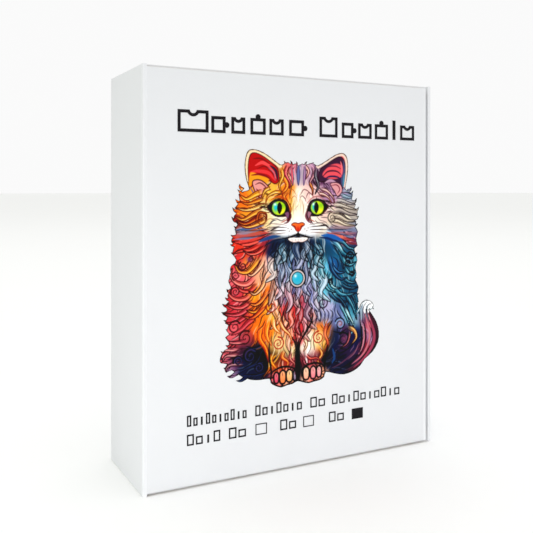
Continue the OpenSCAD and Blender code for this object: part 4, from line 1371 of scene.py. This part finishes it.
# each tip's width at the root, then three points along its middle
WISPS = """
2.0 -27 117.5 -29 119.2 -30.6 120.6;2.2 -27 115 -30 115.2 -31.6 116.6;2.2 -28 111.6 -31.4 111.6 -33 113.2;
2.4 -28 108.4 -31.6 107.6 -33.4 109.4;2.2 -27.6 106 -30.4 104.4 -32.4 105.4;
1.8 -28 120.4 -29.4 121.6 -29.6 123;
1.8 23.6 117.6 26 118.6 27 120.2;2.2 25 115 27.8 115 29 116.8;2.2 26 111.8 28.8 111.2 30.2 112.8;
2.4 25.6 108.6 28.6 107.6 30.2 108.8;2.2 25 106.2 27.8 104.6 29.6 105.2;1.6 24 120 25.6 120.6 26 122;
2.0 -29 101.8 -32 101 -33.8 101.8;2.0 -30 98.6 -32.6 97.4 -34 97.8;2.4 -29.6 95.8 -32 94 -33.6 94.4;
2.6 -30 89.4 -33 88 -33.6 85.8;2.6 -30.6 84.4 -33.8 83 -34 80.8;2.4 -31 79.4 -34.4 78.4 -35.6 79.4;
2.2 -31.6 76.6 -34.6 75 -36.4 76;2.4 -32 73.8 -35.6 72.4 -37.6 73.4;2.2 -32 70.8 -36 69.4 -38 70;
2.2 -31.6 67.4 -34.8 66 -37 66.6;2.2 -31 64.4 -34.2 62.2 -36 62.8;2.4 -31 60.4 -34 58.6 -35.6 59.4;
2.2 -31 57 -34.4 55.6 -36 56.2;2.4 -32 53.4 -36 52.6 -38.3 54;2.0 -33 50.4 -37 49.4 -38.4 50.6;
2.4 -31 47.6 -35 46.2 -37 47;2.2 -30 44.6 -33.4 43 -35.4 43.4;2.0 -26 42.4 -29 40.8 -31.4 41;
1.8 24.6 98.6 27.2 97.6 29 98.2;2.0 24 96 27.2 94.6 28.8 95.2;2.2 24 92.6 27.6 91.2 29.4 92;
2.2 23.6 89 27 87.4 29.2 88.2;2.0 23 85.6 26 84 28.4 84.6;2.0 24 81.6 27 80.2 29 80.8;
2.0 24.6 78.2 27.6 76.8 29.8 77.2;1.8 25.6 75 28.4 73.2 30.4 73.4;1.6 26.6 71.8 29 70 30.2 69.8;
1.5 27 67.6 29 65.4 29.8 64.4;1.4 -7.6 130.4 -7.8 131.8 -8.6 133;1.4 -5 130.6 -4.8 132 -5.4 133.2;
1.3 2 130.6 2.2 132 3 133;1.4 5 130.4 5.4 131.8 6.4 132.6;1.2 -2.4 130.8 -2.2 132 -2.4 132.8;
1.6 33.6 66 33.4 68.4 34.6 70.4;1.8 35 66 36.4 68 38.4 67.6;1.2 36 66 37.4 66.4 38.6 65.6
"""


def wisp(row):
    """A pointed tip of hair, as a closed outline."""
    values = [float(v) for v in row.split()]
    line = smooth_line(np.array(values[1:]).reshape(-1, 2), steps=5)
    t = np.linspace(0, 1, len(line))
    way = np.gradient(line, axis=0)
    way /= np.hypot(way[:, 0], way[:, 1])[:, None]
    half = values[0] / 2 * (1 - t ** 1.6)[:, None]
    side = np.stack([-way[:, 1], way[:, 0]], 1) * half
    ring = np.vstack([line + side, (line - side)[-2::-1]])
    return ring if area(ring) > 0 else ring[::-1]


def union_outline(lines):
    """The outer outline of overlapping closed lines."""
    verts = []
    edges = rings_as_edges(verts, lines)
    out, _, faces, _, _, _ = geometry.delaunay_2d_cdt(verts, edges, [], 1, 1e-6)
    out = np.array([tuple(v) for v in out])
    faces = np.array(faces)
    centre = out[faces].mean(1)
    within = np.zeros(len(centre), bool)
    for o in lines:
        within |= inside(centre, o)
    edge = set()
    for t in faces[within].tolist():
        if turn_of(*(out[i] for i in t)) < 0:
            t = t[::-1]
        edge.update(((t[0], t[1]), (t[1], t[2]), (t[2], t[0])))
    after = {}
    for a, b in edge:
        if (b, a) not in edge:
            after.setdefault(a, []).append(b)
    best = []
    while after:
        v = next(iter(after))
        line = []
        while v in after:
            line.append(v)
            w = after[v].pop()
            if not after[v]:
                del after[v]
            v = w
        if len(line) > len(best):
            best = line
    return out[best]


FURRY = union_outline([OUTLINE] + [wisp(r) for r in WISPS.replace("\n", "").split(";")])

# ---- pieces: one operator each -----------------------------------------------------------

BOARDS = {
    "base_panel": ("tray", (0, 1, 0)), "hinge_wall": ("tray", (-1, 0, 0)), "tuck_wall": ("tray", None),
    "end_wall_bottom": ("tray", (0, -0.7, -0.7)), "end_wall_top": ("tray", (0, -0.7, 0.7)),
    "end_roll_bottom": ("tray", (0, -1, 0)), "end_roll_top": ("tray", (0, -1, 0)),
    "lid_panel": ("lid", (0, -1, 0)), "tuck_flap": ("tuck", (1, 0, 0)),
}
KRAFTS = ("end_liner_bottom", "end_liner_top", "corner_flaps_bottom", "corner_flaps_top", "lock_tabs")

# panels whose top and bottom edges show the cut flutes: which way the wave runs, and how far from the
# panel's sides it stops
FLUTED = {
    "lid_panel": ("x", 0.0012), "base_panel": ("x", 0.0012),
    "hinge_wall": ("y", 0.0014), "tuck_wall": ("y", 0.0014),
}
FLUTE_DEPTH = 0.0011       # how deep the cut edge can be looked into
LINER = 0.00008            # thickness of the liner at that edge
FLUTE_HALF = 0.00008       # half the flute's own thickness
FLUTE_ROOM = 0.00041       # from the panel's face to the wave's crest
FLUTE_POINTS = 8           # points for each wave


def open_ends(obj, node, way, margin, pitch, kraft):
    """Hollows the panel's top and bottom edges between its liners and sets the wavy flute inside."""
    low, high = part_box(node)
    obj.data.materials.append(kraft)
    activate(obj)
    for end, inward in ((low[2], 1), (high[2], -1)):
        bpy.ops.object.mode_set(mode="EDIT")
        bpy.ops.mesh.select_all(action="DESELECT")
        bpy.ops.mesh.select_mode(type="FACE")
        bpy.ops.object.mode_set(mode="OBJECT")
        for face in obj.data.polygons:
            face.select = abs(face.center.z - end) < 1e-6 and abs(face.normal.z) > 0.99
        bpy.ops.object.mode_set(mode="EDIT")
        bpy.ops.mesh.inset(thickness=LINER, depth=0)
        bpy.ops.mesh.extrude_region_move(TRANSFORM_OT_translate={"value": (0, 0, inward * FLUTE_DEPTH)})
        bpy.ops.object.mode_set(mode="OBJECT")
        for face in obj.data.polygons:
            if 0.0002 < abs(face.center.z - end) < FLUTE_DEPTH + 1e-5:
                face.material_index = 1
    parts = [obj]
    long, across = (0, 1) if way == "x" else (1, 0)
    a, b = low[long] + margin, high[long] - margin
    middle = (low[across] + high[across]) / 2
    swing = (high[across] - low[across]) / 2 - FLUTE_ROOM
    n = int((b - a) / pitch * FLUTE_POINTS)
    for k, (end, inward) in enumerate(((low[2], 1), (high[2], -1))):
        bm = bmesh.new()
        rings = []
        for i in range(n + 1):
            t = a + (b - a) * i / n
            turn = 2 * math.pi * (t - a) / pitch
            slope = swing * 2 * math.pi / pitch * math.cos(turn)
            size = math.hypot(1, slope)
            ring = []
            for side, z in ((-1, 0.00005), (1, 0.00005), (1, FLUTE_DEPTH), (-1, FLUTE_DEPTH)):
                co = [0, 0, end + inward * z]
                co[long] = t - side * FLUTE_HALF * slope / size
                co[across] = middle + swing * math.sin(turn) + side * FLUTE_HALF / size
                ring.append(bm.verts.new(co))
            if rings:
                for j in range(4):
                    bm.faces.new((rings[-1][j], rings[-1][(j + 1) % 4], ring[(j + 1) % 4], ring[j]))
            rings.append(ring)
        bm.faces.new(rings[0])
        bm.faces.new(rings[-1])
        bmesh.ops.recalc_face_normals(bm, faces=bm.faces)
        mesh = bpy.data.meshes.new(f"{node}_flute_{k}")
        bm.to_mesh(mesh)
        bm.free()
        mesh.materials.append(kraft)
        parts.append(add_object(mesh.name, mesh))
    activate(obj)
    for part in parts[1:]:
        part.select_set(True)
    bpy.context.view_layer.objects.active = obj
    bpy.ops.object.join()
    bpy.ops.object.shade_smooth_by_angle(angle=math.radians(40))


class CARTON_OT_white_boards(bpy.types.Operator):
    """Make the white panels: back, walls, rolled ends, lid and tuck flap"""

    bl_idname = "carton.white_boards"
    bl_label = "White Boards"

    def execute(self, context):
        s = carton()
        core = kraft_finish("Flute kraft", tuple(s.kraft))
        for node, (body, outward) in BOARDS.items():
            obj = copy_node(node, node + "_board")
            soften(obj, s.edge)
            name = "Board " + node.replace("_", " ")
            obj.data.materials.append(liner_and_kraft(name, outward, tuple(s.white), tuple(s.kraft)))
            if node in FLUTED:
                open_ends(obj, node, *FLUTED[node], s.flute_pitch, core)
            place(obj, body, "white_board", node)
        return {"FINISHED"}


class CARTON_OT_kraft_boards(bpy.types.Operator):
    """Make the bare inner boards: end liners, corner flaps and lock tabs"""

    bl_idname = "carton.kraft_boards"
    bl_label = "Kraft Boards"

    def execute(self, context):
        s = carton()
        finish = kraft_finish("Bare kraft", tuple(s.kraft))
        for node in KRAFTS:
            obj = copy_node(node, node + "_board")
            soften(obj, s.edge * 0.8)
            obj.data.materials.append(finish)
            place(obj, "tray", "kraft_board", node)
        return {"FINISHED"}


SKIN = 0.00012             # thickness of the liner over a fold
SKIN_STEPS = 14            # flats round a fold

# the folds: crease, the skin's name, the panels' bodies, the arc's angles, how far the skin runs on at each
# end, and the signs of x and y at the first panel's side; at the second panel's side both are turned round
FOLDS = (
    ("lid_crease", "hinge_fold_skin", ("tray", "lid"), (180, 270), (0.0009, 0.0011), (-1, 1)),
    ("tuck_crease", "tuck_fold_skin", ("lid", "tuck"), (270, 360), (0.0011, 0.0009), (-1, -1)),
)


def fold_skin(name, pivot, turn, radius, first, last, legs):
    """A thin strip of liner that wraps round a fold. turn gives the arc's start and end angles."""
    bm = bmesh.new()
    arc = [math.radians(turn[0] + (turn[1] - turn[0]) * i / SKIN_STEPS) for i in range(SKIN_STEPS + 1)]
    ring = []
    for r in (radius, radius - SKIN):
        side = [Vector((pivot[0] + r * math.cos(a), pivot[1] + r * math.sin(a), 0)) for a in arc]
        tangent = [Vector((-math.sin(a), math.cos(a), 0)) for a in (arc[0], arc[-1])]
        side.insert(0, side[0] - tangent[0] * legs[0])
        side.append(side[-1] + tangent[1] * legs[1])
        ring.append(side)
    loop = ring[0] + ring[1][::-1]
    low = [bm.verts.new((v.x, v.y, first)) for v in loop]
    high = [bm.verts.new((v.x, v.y, last)) for v in loop]
    n = len(ring[0])
    for i in range(len(loop)):
        j = (i + 1) % len(loop)
        bm.faces.new((low[i], low[j], high[j], high[i]))
    for i in range(n - 1):
        k = len(loop) - 1 - i
        bm.faces.new((low[i], low[k], low[k - 1], low[i + 1]))
        bm.faces.new((high[i], high[i + 1], high[k - 1], high[k]))
    bmesh.ops.recalc_face_normals(bm, faces=bm.faces)
    mesh = bpy.data.meshes.new(name)
    bm.to_mesh(mesh)
    bm.free()
    obj = add_object(name, mesh)
    activate(obj)
    bpy.ops.object.shade_smooth_by_angle(angle=math.radians(40))
    return obj


class CARTON_OT_folds(bpy.types.Operator):
    """Make the folds at the hinge and at the tuck flap, whose liner turns from one panel to the next"""

    bl_idname = "carton.folds"
    bl_label = "Folds"

    def execute(self, context):
        s = carton()
        for node, body, outward in (("lid_crease", "tray", (-0.707, -0.707, 0)),
                                    ("tuck_crease", "lid", (0.707, -0.707, 0))):
            NODES[node].data.materials.clear()
            NODES[node].data.materials.append(
                liner_and_kraft("Fold core " + body, outward, tuple(s.white), tuple(s.kraft)))
        finish = fold_gloss_and_painted_highlight(tuple(s.white))
        for crease, name, (first, second), turn, legs, (along, back) in FOLDS:
            low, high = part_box(crease)
            x, y = (low[0] + high[0]) / 2, (low[1] + high[1]) / 2
            skin = fold_skin(name, (x, y), turn, s.fold, low[2], high[2], legs)
            skin.data.materials.append(finish)
            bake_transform(skin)
        return {"FINISHED"}


def fold_gloss_and_painted_highlight(white):
    """The liner where it is stretched over a fold: glossier, with its colour a touch brighter as a painted
    highlight along the rounded fold.
    """
    f = Finish("Folded liner", Roughness=0.36, Coat_Weight=0.2, Coat_Roughness=0.25)
    fine = f.noise(1400, 4, 0.6, (1, 1, 0.2))
    # painted highlight: the fold's colour runs a little brighter than the flat board's white
    tone = f.ramp(fine, "Fac", [(0.3, toned(white, 0.985)), (0.7, toned(white, 1.03))])
    f.colour((tone, "Color"))
    f.bump(fine, "Fac", 0.12, 0.00005)
    return f.material


class CARTON_OT_picture(bpy.types.Operator):
    """Print the many-coloured cat on the front of the lid"""

    bl_idname = "carton.picture"
    bl_label = "Printed Picture"

    def execute(self, context):
        low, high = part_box("picture_print")
        plate = Plate(low[1] * TO_MM, high[1] * TO_MM)
        plate.add([FURRY], carton().picture_step * TO_MM)
        x, z = plate.spots()
        obj = plate.make("printed_picture", paint_cat(x, z, FURRY), [print_finish("Printed picture", 0.42)])
        place(obj, "lid", "picture_ink", "picture_print")
        return {"FINISHED"}


class CARTON_OT_black_marks(bpy.types.Operator):
    """Ink the row of ornaments, the two caption rows and the tick squares"""

    bl_idname = "carton.black_marks"
    bl_label = "Black Marks"

    def execute(self, context):
        finish = black_ink_finish()
        for node in ("title_marks", "caption_marks", "tick_boxes"):
            NODES[node].data.materials.clear()
            NODES[node].data.materials.append(finish)
        return {"FINISHED"}


# the cat is printed larger on the card and on the puzzle; away from the cat the card has one colour point
# in five each way
CARD_SCALE, CARD_THIN = 1.15, 5
PUZZLE_SCALE, CAT_CENTRE, CAT_FOOT = 1.55, 1.35, 35.6


class CARTON_OT_card(bpy.types.Operator):
    """Make the picture card that lies on the puzzle"""

    bl_idname = "carton.card"
    bl_label = "Picture Card"

    def execute(self, context):
        s = carton()
        low, high = (np.array(v) * TO_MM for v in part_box("picture_card"))
        scale = CARD_SCALE
        centre = (FURRY.min(0) + FURRY.max(0)) / 2
        mid = np.array([(low[0] + high[0]) / 2, (low[2] + high[2]) / 2])
        cat = (FURRY - centre) * scale + mid
        border = np.array([(low[0], low[2]), (high[0], low[2]), (high[0], high[2]), (low[0], high[2])])
        plate = Plate(low[1], high[1])
        step = s.card_step * TO_MM

        def keep(p):
            column = np.round(p[:, 0] / step).astype(int)
            row = np.round(p[:, 1] / step / ROW_HEIGHT).astype(int)
            return inside(p, cat) | ((column % CARD_THIN == 0) & (row % CARD_THIN == 0))

        plate.add([border], step, [cat], keep)
        x, z = plate.spots()
        u, v = (x - mid[0]) / scale + centre[0], (z - mid[1]) / scale + centre[1]
        spots = np.stack([u, v], 1)
        within = inside(spots, FURRY) | (gap_to(spots, FURRY) < 0.05)
        colours = np.tile(np.array(s.paper), (len(x), 1))
        colours[within] = paint_cat(u[within], v[within], FURRY)
        finishes = [print_finish("Card print", 0.34), plain_edge_finish()]
        obj = plate.make("picture_card_print", colours, finishes)
        place(obj, "card", "card_paper", "picture_card")
        return {"FINISHED"}


class CARTON_OT_puzzle(bpy.types.Operator):
    """Make the wooden puzzle: thirteen rows of interlocking pieces and five whole figures"""

    bl_idname = "carton.puzzle"
    bl_label = "Wooden Puzzle"

    def execute(self, context):
        s = carton()
        finishes = [print_finish("Print on wood", 0.5), burnt_edge_finish(tuple(s.wood)),
                    plywood_finish(tuple(s.wood))]
        plates = {}
        for node in PUZZLE_ROWS + WHOLE_PIECES:
            low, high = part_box(node)
            plate = Plate(low[1] * TO_MM, high[1] * TO_MM)
            outlines = front_outlines(node)
            outer = [o for o in outlines if area(o) > 0]
            for o in outer:
                holes = [h for h in outlines if area(h) < 0 and inside(h[:1], o)[0]]
                plate.add([o] + holes, s.puzzle_step * TO_MM)
            plates[node] = plate
        spots = [p.spots() for p in plates.values()]
        x, z = (np.concatenate([q[i] for q in spots]) for i in (0, 1))
        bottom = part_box("puzzle_row_01")[0][2] * TO_MM
        across, up = x / PUZZLE_SCALE + CAT_CENTRE, (z - bottom) / PUZZLE_SCALE + CAT_FOOT
        tones = paint_cat(across, up, OUTLINE, 0.22)
        start = 0
        for node, plate in plates.items():
            part = tones[start:start + plate.count].copy()
            start += plate.count
            rim = np.concatenate(plate.rim)
            part[rim] = part[rim] * 0.3 + 0.35 * np.array([0.10, 0.05, 0.02])
            obj = plate.make(node + "_printed", part, finishes)
            place(obj, "puzzle", "puzzle_wood", node)
        return {"FINISHED"}


FLOOR_SIZE = 80
# the camera stands at the front left and looks level; the shift lowers the picture's middle
CAMERA_AT = (-0.1594, -0.3009, 0.1199)
CAMERA_WAY = (0.4566, 0.8897, 0)
CAMERA_SHIFT = -0.1414


def even_sky(strength, left):
    """An even white sky, a little dimmer on the left, which sets the carton's side off from its front."""
    world = bpy.data.worlds.new("Even sky")
    world.use_nodes = True
    tree = world.node_tree
    back = tree.nodes["Background"]
    back.inputs["Strength"].default_value = strength
    coords = tree.nodes.new("ShaderNodeTexCoord")
    split = tree.nodes.new("ShaderNodeSeparateXYZ")
    tree.links.new(coords.outputs["Generated"], split.inputs["Vector"])
    band = tree.nodes.new("ShaderNodeValToRGB")
    band.color_ramp.elements[0].position, band.color_ramp.elements[1].position = 0.0, 0.55
    band.color_ramp.elements[0].color = (*left, 1)
    band.color_ramp.elements[1].color = (1, 1, 1, 1)
    span = tree.nodes.new("ShaderNodeMapRange")
    span.inputs["From Min"].default_value, span.inputs["From Max"].default_value = -1, 1
    tree.links.new(split.outputs["X"], span.inputs["Value"])
    tree.links.new(span.outputs["Result"], band.inputs["Fac"])
    tree.links.new(band.outputs["Color"], back.inputs["Color"])
    return world


class CARTON_OT_studio(bpy.types.Operator):
    """Set the pale floor, the soft lights and the camera"""

    bl_idname = "carton.studio"
    bl_label = "Studio"

    def execute(self, context):
        s = studio()
        activate(None)
        bpy.ops.mesh.primitive_plane_add(size=FLOOR_SIZE, location=(0, 0, 0))
        floor = bpy.context.active_object
        floor.name = "studio_floor"
        bpy.ops.object.mode_set(mode="EDIT")
        bpy.ops.mesh.subdivide(number_cuts=3)
        bpy.ops.object.mode_set(mode="OBJECT")
        floor.data.materials.append(stage_finish(tuple(s.floor)))
        for name, at, size, tall, aim, spread, power in (
                ("low_light", (-0.30, -0.55, 0.10), 0.5, 0.16, (-0.02, -0.0235, 0), 45, s.low_power),
                ("top_light", (0.0, 0.0, 2.4), 2.4, 2.4, (0, 0, 0), 180, s.top_power)):
            lamp = bpy.data.lights.new(name, "AREA")
            lamp.shape, lamp.size, lamp.size_y, lamp.energy = "RECTANGLE", size, tall, power
            lamp.spread = math.radians(spread)
            obj = bpy.data.objects.new(name, lamp)
            obj.location = at
            obj.rotation_euler = (Vector(aim) - Vector(at)).to_track_quat("-Z", "Y").to_euler()
            obj.visible_camera = False
            bpy.context.scene.collection.objects.link(obj)
        bpy.context.scene.world = even_sky(s.sky, tuple(s.left_tint))
        bpy.context.scene.view_settings.view_transform = "Standard"
        camera = bpy.data.cameras.new("camera")
        camera.lens, camera.sensor_width = s.lens, 36
        camera.shift_y = CAMERA_SHIFT
        camera.clip_start, camera.clip_end = 0.01, 50
        obj = bpy.data.objects.new("camera", camera)
        obj.location = CAMERA_AT
        obj.rotation_euler = Vector(CAMERA_WAY).to_track_quat("-Z", "Y").to_euler()
        bpy.context.scene.collection.objects.link(obj)
        bpy.context.scene.camera = obj
        return {"FINISHED"}


# ---- the panel and registration ------------------------------------------------------------

STEPS = (CARTON_OT_studio, CARTON_OT_white_boards, CARTON_OT_kraft_boards, CARTON_OT_folds,
         CARTON_OT_picture, CARTON_OT_black_marks, CARTON_OT_card, CARTON_OT_puzzle)


class CARTON_PT_panel(bpy.types.Panel):
    """Lists the pieces and the settings"""

    bl_idname = "CARTON_PT_panel"
    bl_label = "Puzzle Box"
    bl_space_type = "VIEW_3D"
    bl_region_type = "UI"
    bl_category = "Puzzle Box"

    def draw(self, context):
        layout = self.layout
        for settings in (context.scene.carton_settings, context.scene.studio_settings):
            box = layout.box()
            for key in settings.bl_rna.properties.keys():
                if key not in ("rna_type", "name"):
                    box.prop(settings, key)
        for step in STEPS:
            layout.operator(step.bl_idname)


CLASSES = (CartonSettings, StudioSettings) + STEPS + (CARTON_PT_panel,)


def register():
    for cls in CLASSES:
        bpy.utils.register_class(cls)
    bpy.types.Scene.carton_settings = bpy.props.PointerProperty(type=CartonSettings)
    bpy.types.Scene.studio_settings = bpy.props.PointerProperty(type=StudioSettings)


def unregister():
    del bpy.types.Scene.studio_settings
    del bpy.types.Scene.carton_settings
    for cls in reversed(CLASSES):
        bpy.utils.unregister_class(cls)


def main():
    register()
    activate(None)
    bpy.ops.carton.studio()
    bpy.ops.carton.white_boards()
    bpy.ops.carton.kraft_boards()
    bpy.ops.carton.folds()
    bpy.ops.carton.picture()
    bpy.ops.carton.black_marks()
    bpy.ops.carton.card()
    bpy.ops.carton.puzzle()


if __name__ == "__main__":
    main()
